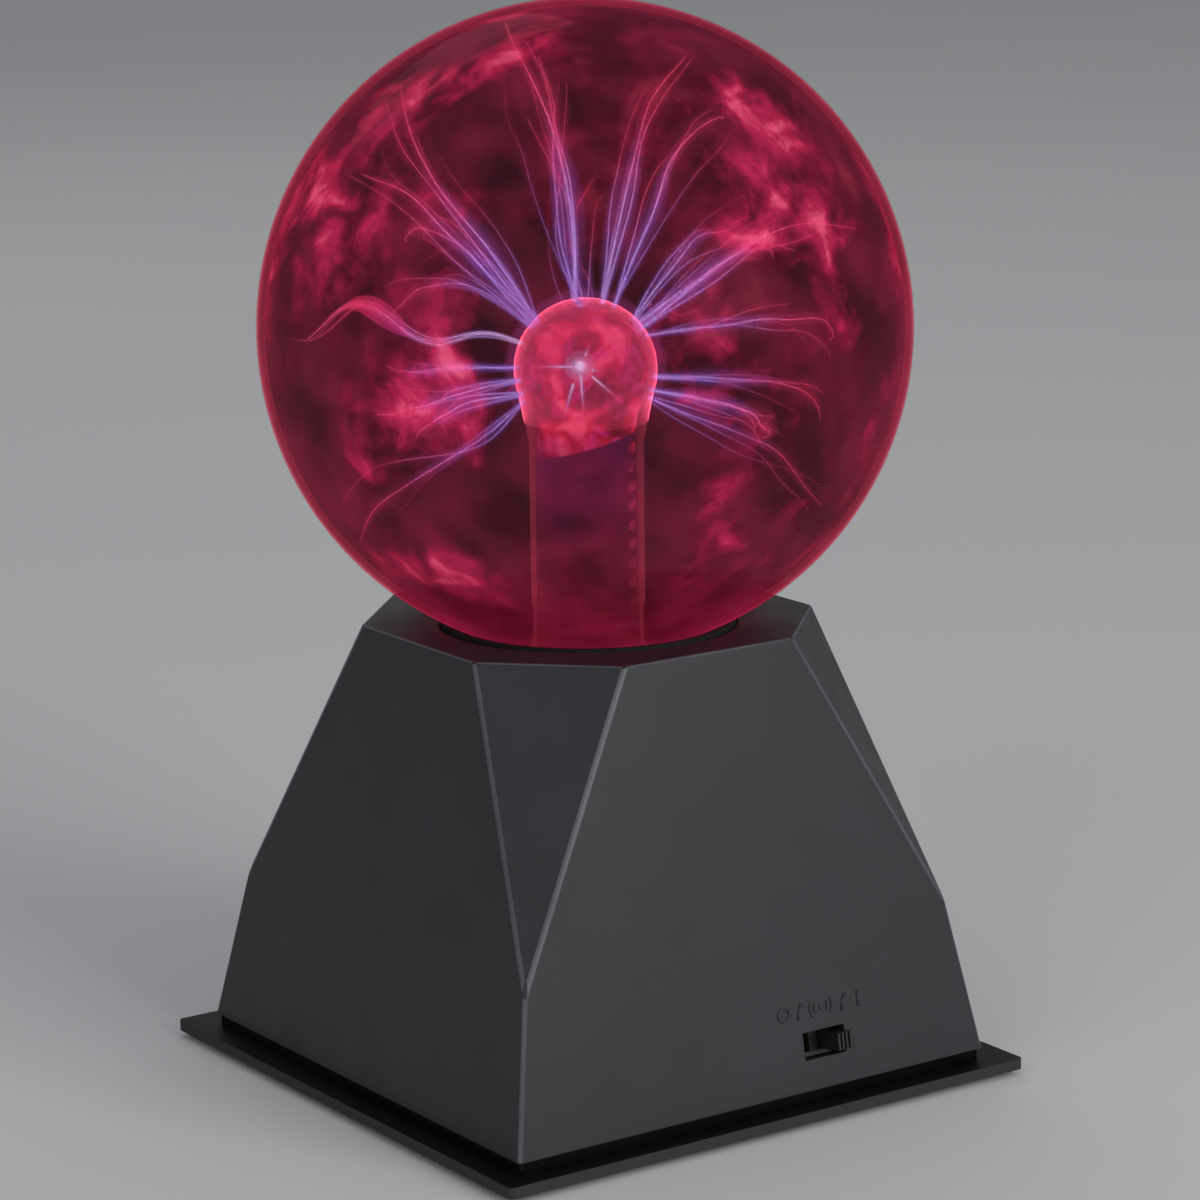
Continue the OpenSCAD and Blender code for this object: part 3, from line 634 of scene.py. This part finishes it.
# A filament's strands: each one's share of its brightness, and how many points of its path it follows.
STRAND_SHARES = (1.0, 0.45, 0.65, 0.3)
STRAND_ENDS = (42, 36, 44, 30)
FIRST_END, CURLED_END, HAZE_END = 45, 39, 30
PATH_STEPS = 44
# Further clouds on the glass: their direction and how dense they are.
CLOUDS = [
    ((-35, -28), 1.1), ((-40, -42), 0.9), ((-32, 22), 1.0), ((145, -4), 0.9),
    ((148, 30), 1.0), ((150, -34), 0.6), ((-120, 84), 0.7), ((-155, -34), 0.5),
    ((-98, -34), 0.6), ((-88, 6), 0.7), ((-126, -48), 0.4), ((60, 60), 0.8),
]


def filament_path(root, tip, bow, seed):
    """Points from the bulb to the glass, leaving the bulb square and wavering on the way."""
    start, end = direction(*root), direction(*tip)
    side = start.cross(end)
    side = side.normalized() if side.length > 0.05 else start.orthogonal().normalized()
    points = []
    for k in range(PATH_STEPS + 1):
        t = k / PATH_STEPS
        heading = start.slerp(end, t ** 0.7)
        radius = BULB_R - 0.6 + (GLOBE_R - 2.6 - BULB_R) * t
        over = side.cross(heading)
        point = BULB_CENTRE.lerp(GLOBE_CENTRE, t) + heading * radius
        point += side * bow[0] * math.sin(math.pi * t) + over * bow[1] * math.sin(2 * math.pi * t)
        curl = math.sin(2 * math.pi * (0.38 + 0.75 * t + 0.87 * t * t))
        point += Vector((0, 0, bow[2] * min(1, 3 * t) * curl))
        waver = noise.noise_vector(Vector((seed * 7.3, t * 3.5, 0.5)))
        point += waver * 3.0 * t
        reach = (point - GLOBE_CENTRE).length / (GLOBE_R - 3.2)
        points.append(GLOBE_CENTRE + (point - GLOBE_CENTRE) / max(1.0, reach))
    return points


def swept_tube(points, radii, sides=10):
    """Vertices and faces of a closed tube along points, and how far along it each vertex is."""
    vertices, along = [], []
    across = (points[1] - points[0]).orthogonal().normalized()
    count = len(points)
    for i, point in enumerate(points):
        heading = (points[min(i + 1, count - 1)] - points[max(i - 1, 0)]).normalized()
        across = (across - heading * across.dot(heading)).normalized()
        other = heading.cross(across)
        for k in range(sides):
            angle = 2 * math.pi * k / sides
            offset = across * math.cos(angle) + other * math.sin(angle)
            vertices.append(point + offset * radii[i])
            along.append(i / (count - 1))
    faces = []
    for i in range(count - 1):
        a, b = i * sides, (i + 1) * sides
        for k in range(sides):
            beside = (k + 1) % sides
            faces.append((a + k, b + k, b + beside, a + beside))
    faces.append(tuple(range(sides)))
    faces.append(tuple(reversed(range((count - 1) * sides, count * sides))))
    return vertices, faces, along


def tubes_object(name, tubes):
    """One object of many tubes, with the attributes along, bright and white on its points."""
    vertices, faces, values = [], [], {"along": [], "bright": [], "white": []}
    for points, radii, bright, white in tubes:
        tube_vertices, tube_faces, along = swept_tube(points, radii)
        faces += [tuple(i + len(vertices) for i in face) for face in tube_faces]
        vertices += tube_vertices
        values["along"] += along
        values["bright"] += [bright] * len(along)
        values["white"] += [white] * len(along)
    obj = new_object(name, vertices, faces)
    for key, numbers in values.items():
        obj.data.attributes.new(key, "FLOAT", "POINT").data.foreach_set("value", numbers)
    return obj


def stretched(latitude):
    """How much wider in longitude a step is at a latitude, up to four times."""
    return 1 / max(0.25, math.cos(math.radians(latitude)))


def strands():
    """Each strand's centre line, brightness, whiteness, thickness, and whether it's its filament's first."""
    lines = []
    for number, (root, tip, bow, bright, white, spread) in enumerate(FILAMENTS):
        curled = bow[2] != 0
        for strand, share in enumerate(STRAND_SHARES):
            turn = 2.4 * strand + number
            off = Vector((math.cos(turn), math.sin(turn))) * (strand / len(STRAND_SHARES)) ** 0.5
            off_tip = (tip[0] + off.x * spread * stretched(tip[1]), tip[1] + off.y * spread)
            off_root = (root[0] + off.y * 2 * stretched(root[1]), root[1] + off.x * 2)
            curl = bow[2] * (1 - 0.12 * strand)
            bowed = (bow[0] + off.x * spread * 0.5, bow[1] + off.y * spread * 0.4, curl)
            path = filament_path(off_root, off_tip, bowed, number + 0.12 * strand * spread)
            end = CURLED_END if curled else FIRST_END
            if strand:
                end = STRAND_ENDS[(strand + number) % len(STRAND_ENDS)]
            thick = (0.7 + 0.3 * share) * (0.6 if curled else 1.0)
            lines.append((path[:end], bright * share, white * share, thick, not strand))
    return lines


# Where the brightest filament strikes the front of the bulb, and where the threads round it point.
HOT_SPOT = (-129, 12)
STREAKS = [(-168, 9), (-92, -20), (-118, 34), (-126, -30), (-150, -42), (-104, 4)]
STREAK_POINTS = 15


def streaks():
    """Short threads that spring from the hot spot and lift off the front of the bulb."""
    lines = []
    for number, tip in enumerate(STREAKS):
        kind = number % 3
        root = tuple(a + (b - a) * (0.15 + 0.1 * kind) for a, b in zip(HOT_SPOT, tip))
        path = []
        for k in range(STREAK_POINTS - 3 * kind):
            t = k / (STREAK_POINTS - 1)
            heading = direction(*root).slerp(direction(*tip), t)
            path.append(BULB_CENTRE + heading * (BULB_R + 0.6 + 2.5 * t * t))
        lines.append((path, (1.0, 1.2, 0.8)[kind], 0.9, 0.6, False))
    return lines


def glow_shader(name, near, far, strength, alpha_near, alpha_far):
    """A thread of light: its colour and strength run from the bulb to the glass."""
    s = Shader(name)
    along = s.add("Attribute", output="Fac", attribute_name="along")
    bright = s.add("Attribute", output="Fac", attribute_name="bright")
    white = s.add("Attribute", output="Fac", attribute_name="white")
    tinted = s.mix(s.remap(along, 0.2, 0.8, smooth=True), rgba(near), rgba(far))
    whiter = s.math("MULTIPLY", white, s.remap(along, 0.7, 0.1, 0.1, 0.9))
    colour = s.mix(whiter, tinted, (0.74, 0.70, 1.0, 1))
    flicker = s.remap(s.noise(160, 3, 0.6), 0.3, 0.7, 0.6, 1.15)
    fade = s.remap(along, 0.0, 1.0, alpha_near, alpha_far)
    alpha = s.math("MULTIPLY", s.math("MULTIPLY", fade, bright), flicker, clamp=True)
    return s.finish(s.glowing_surface(colour, strength, alpha))


def haze_shader(name, colour, strength):
    """Soft-edged light that fills a closed tube, brightest where the tube is deep."""
    s = Shader(name)
    alpha = s.remap(s.noise(120, 3), 0.4, 0.7, 0.0, 0.012)
    return s.finish(s.glowing_surface(rgba(colour), 1.0, alpha), s.glowing_volume(colour, strength))


def build_filaments():
    """The strands in nested layers, thin and bright within wide and faint; the whitest ends in a flame."""
    core, halo, veil, haze, flare = [], [], [], [], []
    for path, bright, white, thick, first in strands() + streaks():
        way = [k / (len(path) - 1) for k in range(len(path))]
        core.append((path, [thick * (0.20 - 0.12 * t) for t in way], bright, white))
        halo.append((path, [thick * (0.45 - 0.1 * t) * (1 - 0.8 * t ** 6) for t in way], bright, white))
        veil.append((path, [thick * (0.9 + 0.7 * t) * (1 - 0.9 * t ** 6) for t in way], bright, white))
        if first and white < 1.0:
            swell = [math.sin(math.pi * k / (HAZE_END - 1)) ** 0.7 for k in range(HAZE_END)]
            haze.append((path[:HAZE_END], [bright * 3.0 * wide + 0.02 for wide in swell], 1, 0))
        if first:
            size = 3.0 if white == 1.0 else 5.0 * bright
            widths = [max(0.02, size * math.sin(math.pi * max(0.0, t - 0.4) / 0.6) ** 2) for t in way]
            flare.append((path, widths, 1, 0))
        if first and white == 1.0:
            flame = [max(0.02, math.sin(math.pi * min(1.0, max(0.0, t - 0.5) / 0.34))) for t in way]
            veil.append((path, [2.7 * wide for wide in flame], 3.6, 0))
            halo.append((path, [1.4 * wide for wide in flame], 1.6, 0))
    violet, blue = (0.46, 0.40, 1.0), (0.17, 0.15, 1.0)
    pink, crimson = (1.0, 0.16, 0.34), (1.0, 0.05, 0.2)
    spot = BULB_CENTRE + direction(*HOT_SPOT) * (BULB_R + 0.9)
    up = (spot - BULB_CENTRE).normalized()
    for layer, size in ((core, 1.2), (halo, 2.2), (veil, 3.6)):
        path = [spot + up * size * (1 - k / 6) for k in range(13)]
        widths = [max(0.02, size * math.sin(math.pi * k / 12)) for k in range(13)]
        layer.append((path, widths, 2.4, 1.0))
    layers = (
        ("filament_cores", core, glow_shader("filament_core", violet, pink, 8.5, 0.55, 0.10)),
        ("filament_halos", halo, glow_shader("filament_halo", blue, crimson, 4.4, 0.22, 0.09)),
        ("filament_veils", veil, glow_shader("filament_veil", blue, crimson, 4.0, 0.10, 0.07)),
        ("filament_haze", haze, haze_shader("filament_haze", (0.45, 0.20, 1.0), 85)),
        ("filament_flares", flare, haze_shader("filament_flare", (1.0, 0.08, 0.25), 30)),
    )
    for name, tubes, material in layers:
        obj = tubes_object(name, tubes)
        obj.data.materials.append(material)
        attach(obj, BASE)


def gas_shader():
    """The gas as it shows on the glass: dark wine-red, with crimson clouds where the filaments spread out."""
    s = Shader("glowing_gas")
    offset = s.add("VectorMath", {0: s.position(), 1: GLOBE_CENTRE * MM}, operation="SUBTRACT")
    unit = s.add("VectorMath", {0: offset}, operation="NORMALIZE")
    drift = s.add("TexNoise", {"Vector": s.position(), "Scale": 22.0, "Detail": 2.0}, output="Color")
    push = (0.014, 0.014, 0.014)
    bent = s.add("VectorMath", {0: drift, 1: push, 2: s.position()}, operation="MULTIPLY_ADD")
    billow = s.noise(31, 7, 0.55, 0.2, bent)
    wisps = s.noise(105, 5, 0.55, 0.5, bent)
    height = s.add("SeparateXYZ", {0: unit}, output="Z")
    near = s.remap(height, -0.55, -0.9, 0.0, 0.12, smooth=True)
    for tip, dense in [(tip, min(1.0, bright)) for _, tip, _, bright, _, _ in FILAMENTS] + CLOUDS:
        facing = s.add("VectorMath", {0: unit, 1: direction(*tip)}, output="Value", operation="DOT_PRODUCT")
        near = s.math("MAXIMUM", near, s.remap(facing, 0.93, 1.0, 0.0, dense, smooth=True))
    swelled = s.math("ADD", billow, s.math("MULTIPLY", near, 0.13))
    thinned = s.remap(wisps, 0.34, 0.66, 0.25, 1.0)
    cloud = s.math("MULTIPLY", s.remap(swelled, 0.52, 0.75, smooth=True), thinned)
    total = s.math("MULTIPLY", cloud, 0.95, clamp=True)
    cloudy = s.ramp(total, (
        (0.0, (0.003, 0.005, 0.005)), (0.12, (0.016, 0.004, 0.006)), (0.36, (0.18, 0.008, 0.038)),
        (0.66, (0.50, 0.022, 0.10)), (1.0, (1.0, 0.15, 0.30))))
    redder = s.mix(s.remap(height, -0.55, -0.86, 0.0, 0.85, smooth=True), cloudy, (0.06, 0.0, 0.003, 1))
    alpha = s.remap(total, 0.0, 0.8, 0.78, 0.90)
    surface = s.glowing_surface(redder, 1.0, alpha, (0.004, 0.002, 0.002))
    absorb = s.add("VolumeAbsorption", {"Color": (0.5, 0.0, 0.15, 1), "Density": 10.0})
    return s.finish(surface, absorb)


def skin_shader():
    """A thin layer of the gas's light within the glass, brightest where it is seen edge on."""
    s = Shader("glowing_skin")
    surface = s.glowing_surface((1.0, 0.05, 0.2, 1), 1.0, s.remap(s.noise(60, 3), 0.4, 0.7, 0.0, 0.05))
    return s.finish(surface, s.glowing_volume((1.0, 0.05, 0.23), 42))


def build_gas():
    """The gas just within the glass and down its neck, and the skin of light in the glass's outer part."""
    radius = GLOBE_R - 1.95
    outline = [(0, GLOBE_Z + radius)] + arc(0, GLOBE_Z, radius, 88, -66, 96)
    outline += [(28.0, 106.0), (28.0, 93.5), (0, 93.5)]
    gas = lathe("glowing_gas", outline, 192)
    gas.data.materials.append(gas_shader())
    outline = shell_outline(GLOBE_Z, (GLOBE_R - 0.32, -65), (GLOBE_R - 0.12, -65), 88, 96)
    skin = lathe("glowing_skin", outline, 192)
    skin.data.materials.append(skin_shader())
    for piece in (gas, skin):
        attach(piece, BASE)


# ---------------------------------------------------------------- electrode

def electrode_shader():
    """Thin glass whose wall carries the light, so it shows as bright lines where it is seen edge on; its
    gloss is tinted pink, a painted reflection of the glow.
    """
    s = Shader("electrode_glass")
    graze = s.math("POWER", s.add("LayerWeight", {"Blend": 0.5}, output="Facing"), 4.0)
    # Painted reflection: the gloss is tinted pink.
    gloss = s.add("BsdfGlossy", {"Color": (1, 0.8, 0.85, 1), "Roughness": 0.08})
    through = s.add("BsdfTransparent", {"Color": (1, 0.93, 0.95, 1)})
    film = s.add("Emission", {"Color": (0.9, 0.02, 0.09, 1), "Strength": 1.6})
    patchy = s.remap(s.noise(140, 4, 0.6), 0.4, 0.65, 0.0, 0.08)
    misted = s.add("MixShader", {0: patchy, 1: through, 2: film})
    surface = s.add("MixShader", {0: s.remap(graze, 0.0, 1.0, 0.02, 0.3), 1: misted, 2: gloss})
    return s.finish(surface, s.glowing_volume((1.0, 0.20, 0.30), 60))


def bulb_glow_shader():
    """Red gas glow behind the bulb's wall, mottled, with violet streaks."""
    s = Shader("bulb_glow")
    mottle = s.noise(105, 4, 0.55, 0.4)
    red = s.ramp(mottle, (
        (0.40, (0.04, 0.0005, 0.004)), (0.48, (0.22, 0.002, 0.018)), (0.55, (0.62, 0.012, 0.07)),
        (0.63, (1.0, 0.14, 0.28))))
    streaks = s.remap(s.noise(150, 3, 0.5, 1.5), 0.50, 0.66, 0.0, 0.6)
    colour = s.mix(streaks, red, (0.62, 0.045, 0.32, 1))
    height = s.add("SeparateXYZ", {0: s.position()}, output="Z")
    alpha = s.remap(height, 0.141, 0.152, 0.0, 0.92, smooth=True)
    return s.finish(s.glowing_surface(colour, 4.4, alpha, (0.05, 0, 0.01)))


def halo_shader(name, strength):
    """The bright layer of gas that clings to the electrode's glass."""
    s = Shader(name)
    height = s.add("SeparateXYZ", {0: s.position()}, output="Z")
    alpha = s.remap(height, 0.150, 0.170, 0.0, 0.015, smooth=True)
    surface = s.glowing_surface((1.0, 0.2, 0.32, 1), 2.0, alpha)
    return s.finish(surface, s.glowing_volume((1.0, 0.16, 0.27), strength))


def bulb_aura_shader():
    """A soft violet glow a little way out from the bulb."""
    s = Shader("bulb_aura")
    alpha = s.remap(s.noise(90, 3), 0.4, 0.7, 0.0, 0.02)
    surface = s.glowing_surface((0.6, 0.2, 1.0, 1), 2.0, alpha)
    return s.finish(surface, s.glowing_volume((0.75, 0.18, 0.8), 42))


def tube_painted_glow_shader():
    """Fainter painted light down the tube: a glowing column that stands for the light on the liner's far
    wall, which shows through the liner's notched gap; darker towards the bottom.
    """
    s = Shader("tube_painted_glow")
    height = s.add("SeparateXYZ", {0: s.position()}, output="Z")
    dim = s.remap(height, 0.107, 0.140, 0.12, 0.9)
    painted_light = s.math("MULTIPLY", dim, s.remap(s.noise(150, 4), 0.3, 0.7, 0.6, 1.0))
    colour = s.mix(painted_light, (0.02, 0.0, 0.01, 1), (0.8, 0.08, 0.26, 1))
    return s.finish(s.glowing_surface(colour, 2.2, 0.85, (0.02, 0, 0.01)))


def build_bulb_glow():
    """The mottled body of light in the bulb, the thin bright shell on the glass, and the glow round it."""
    radius = BULB_R - 1.9
    inner = TUBE_R - 1.8
    outline = [(0, BULB_Z + radius)] + arc(0, BULB_Z, radius, 86, -30, 40)
    outline += [(inner, 150), (inner, 141), (0, 141)]
    glow = lathe("bulb_glow", outline, 96)
    glow.data.materials.append(bulb_glow_shader())
    rim = [(14.3, 153.0), (14.15, 152.9)]
    outline = shell_outline(BULB_Z, (BULB_R + 0.05, -20), (BULB_R + 0.19, -18), 86, 40, rim)
    halo = lathe("bulb_halo", outline, 96)
    halo.data.materials.append(halo_shader("bulb_halo", 4200))
    near, far = TUBE_R + 0.05, TUBE_R + 0.17
    outline = [(14.1, 152.6), (far, 148), (far, 110), (near, 110), (near, 148), (13.95, 152.6)]
    sleeve = lathe("tube_halo", outline, 96)
    sleeve.data.materials.append(halo_shader("tube_halo", 400))
    outline = shell_outline(BULB_Z, (BULB_R + 0.55, -20), (BULB_R + 2.4, -30), 86, 40)
    aura = lathe("bulb_aura", outline, 96)
    aura.data.materials.append(bulb_aura_shader())
    # A glowing column of painted light within the liner.
    column = lathe("tube_painted_glow", [(0, 140.6), (inner, 140.6), (inner, 107.2), (0, 107.2)], 64)
    column.data.materials.append(tube_painted_glow_shader())
    for piece in (glow, halo, sleeve, aura, column):
        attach(piece, BASE)


def liner_shader():
    """Dark conductive sheet with the gas's red light painted on it as an uneven glow, turning violet towards
    the top.
    """
    s = Shader("liner_sheet")
    blotch = s.noise(70, 5, 0.6)
    # Painted light: the sheet gives off the red and violet light that the gas casts on it.
    painted_red_light = s.mix(s.remap(blotch, 0.35, 0.7), (0.01, 0.001, 0.006, 1), (0.06, 0.003, 0.022, 1))
    height = s.add("SeparateXYZ", {0: s.position()}, output="Z")
    violet = s.math("MULTIPLY", s.remap(height, 0.118, 0.146, smooth=True), s.remap(blotch, 0.30, 0.55))
    colour = s.mix(violet, painted_red_light, (0.03, 0.008, 0.22, 1))
    surface = s.principled(
        base_color=(0.05, 0.008, 0.02, 1), roughness=0.45, metallic=0.3,
        emission_color=colour, emission_strength=1.2, normal=s.bump(blotch, 0.3))
    return s.finish(surface)


# ---------------------------------------------------------------- assembling the looks

def dress(node, material, width=0.0):
    """Gives a CAD node its material, and rounds its edges where a width is given."""
    obj = frame["nodes"][node]
    obj.data.materials.clear()
    obj.data.materials.append(material)
    if width:
        soften(obj, width)


def board_laminate():
    """Green-lacquered board with the weave of its glass cloth showing through."""
    s = Shader("board_laminate")
    weave = s.add("TexWave", {"Vector": s.position(), "Scale": 420.0, "Distortion": 0.6}, output="Fac")
    cross = s.add("TexWave", {"Vector": s.position(), "Scale": 420.0}, output="Fac", bands_direction="Y")
    cloth = s.math("MULTIPLY", weave, cross)
    green = s.mix(cloth, (0.006, 0.055, 0.018, 1), (0.012, 0.095, 0.032, 1))
    return s.finish(s.principled(base_color=green, roughness=0.34, normal=s.bump(cloth, 0.01)))


def wound_tape(name, colour):
    """Tape wound in overlapping turns."""
    s = Shader(name)
    winding = {"Vector": s.position(), "Scale": 60.0, "Distortion": 0.4}
    turns = s.add("TexWave", winding, output="Fac", bands_direction="Z")
    base = s.mix(s.remap(turns, 0.4, 0.6), rgba(colour), rgba(colour, 0.7))
    return s.finish(s.principled(base_color=base, roughness=0.38, normal=s.bump(turns, 0.05)))


def stone(name, dark, light, rough):
    """Pressed powder: ferrite, resin or lacquer with a mottled, pitted skin."""
    s = Shader(name)
    speckle = s.noise(900, 5, 0.7)
    base = s.mix(s.remap(speckle, 0.35, 0.65), rgba(dark), rgba(light))
    return s.finish(s.principled(base_color=base, roughness=rough, normal=s.bump(speckle, 0.02)))


def cable_sheath(name, colour):
    """Soft vinyl over a stranded wire."""
    s = Shader(name)
    lay = s.noise(500, 3, 0.5)
    base = s.mix(s.remap(lay, 0.3, 0.7), rgba(colour, 0.8), rgba(colour, 1.15))
    return s.finish(s.principled(base_color=base, roughness=0.42, normal=s.bump(lay, 0.015)))


def dress_base():
    """The plastic, metal and rubber pieces that show from outside."""
    dress("base_plate", sheet_plastic("plate_plastic"), 0.25)
    dress("rubber_feet", rubber("foot_rubber", (0.02, 0.02, 0.02)), 0.2)
    dress("globe_gasket", rubber("gasket_foam", (0.01, 0.01, 0.01)))
    dress("neck_collar", moulded_plastic("collar_plastic", (0.012, 0.012, 0.013), 0.4, grain=0.01), 0.15)
    dress("stem_plug", rubber("plug_rubber", (0.03, 0.028, 0.026)), 0.15)
    dress("switch_slider", moulded_plastic("knob_plastic", (0.012, 0.012, 0.013), 0.35, grain=0.006), 0.12)
    dress("jack_body", moulded_plastic("jack_plastic", (0.010, 0.010, 0.011), 0.3, grain=0.004), 0.12)
    steel = metal("screw_steel", (0.62, 0.63, 0.65), 0.3)
    screws = ("base_screws", "collar_screws", "switch_screws", "board_screws", "transistor_screw")
    for node in (*screws, "jack_pin"):
        dress(node, steel)
    dress("jack_nut", metal("nut_nickel", (0.70, 0.67, 0.60), 0.22), 0.1)
    dress("switch_frame", metal("switch_steel", (0.10, 0.10, 0.11), 0.45, 0.01), 0.06)


def dress_circuit():
    """The electrical pieces inside the base."""
    dress("switch_board", stone("phenolic", (0.16, 0.075, 0.03), (0.24, 0.12, 0.05), 0.5))
    brass = metal("contact_brass", (0.78, 0.56, 0.25), 0.28)
    dress("hv_contact_clip", brass)
    dress("slider_contact", brass)
    tinned = metal("tinned_brass", (0.72, 0.71, 0.68), 0.35)
    dress("switch_terminals", tinned)
    dress("jack_terminals", tinned)
    dress("circuit_board", board_laminate(), 0.1)
    dress("transformer_core", stone("ferrite", (0.018, 0.018, 0.02), (0.04, 0.04, 0.043), 0.6), 0.3)
    dress("transformer_coil", wound_tape("coil_tape", (0.75, 0.56, 0.10)), 0.15)
    epoxy = stone("epoxy_black", (0.010, 0.010, 0.011), (0.018, 0.018, 0.019), 0.48)
    dress("driver_transistor", epoxy, 0.1)
    dress("timer_chip", epoxy, 0.08)
    dress("heat_sink", metal("sink_aluminium", (0.80, 0.81, 0.82), 0.36, 0.02), 0.12)
    sleeve = moulded_plastic("capacitor_sleeve", (0.02, 0.03, 0.09), 0.28, grain=0.003)
    dress("electrolytic_capacitors", sleeve, 0.2)
    dress("film_capacitor", stone("capacitor_resin", (0.35, 0.05, 0.02), (0.45, 0.08, 0.03), 0.35), 0.3)
    dress("resistors", stone("resistor_lacquer", (0.52, 0.38, 0.20), (0.62, 0.47, 0.27), 0.4))
    dress("microphone", metal("mic_aluminium", (0.75, 0.75, 0.76), 0.3), 0.1)
    dress("wire_headers", moulded_plastic("header_nylon", (0.75, 0.73, 0.66), 0.45, grain=0.004), 0.1)
    red = cable_sheath("lead_red", (0.55, 0.02, 0.02))
    dress("hv_lead", red)
    dress("positive_lead", red)
    dress("negative_lead", cable_sheath("lead_black", (0.012, 0.012, 0.012)))
    dress("switch_leads", cable_sheath("lead_grey", (0.25, 0.25, 0.26)))


place_camera()
build_stage()
housing_plastic = moulded_plastic("housing_plastic", (0.0205, 0.0198, 0.0256), 0.42, grain=0.012, wave=0.25)
build_housing(housing_plastic)
build_marks(housing_plastic)
dress_base()
dress_circuit()
dress("globe_glass", globe_shader())
dress("electrode_glass", electrode_shader())
dress("electrode_liner", liner_shader())
build_bulb_glow()
build_filaments()
build_gas()

for obj in bpy.context.scene.objects:
    if obj.name.startswith(("glowing", "filament", "bulb", "tube")):
        obj.visible_diffuse = False
frame["nodes"]["globe_glass"].visible_diffuse = False
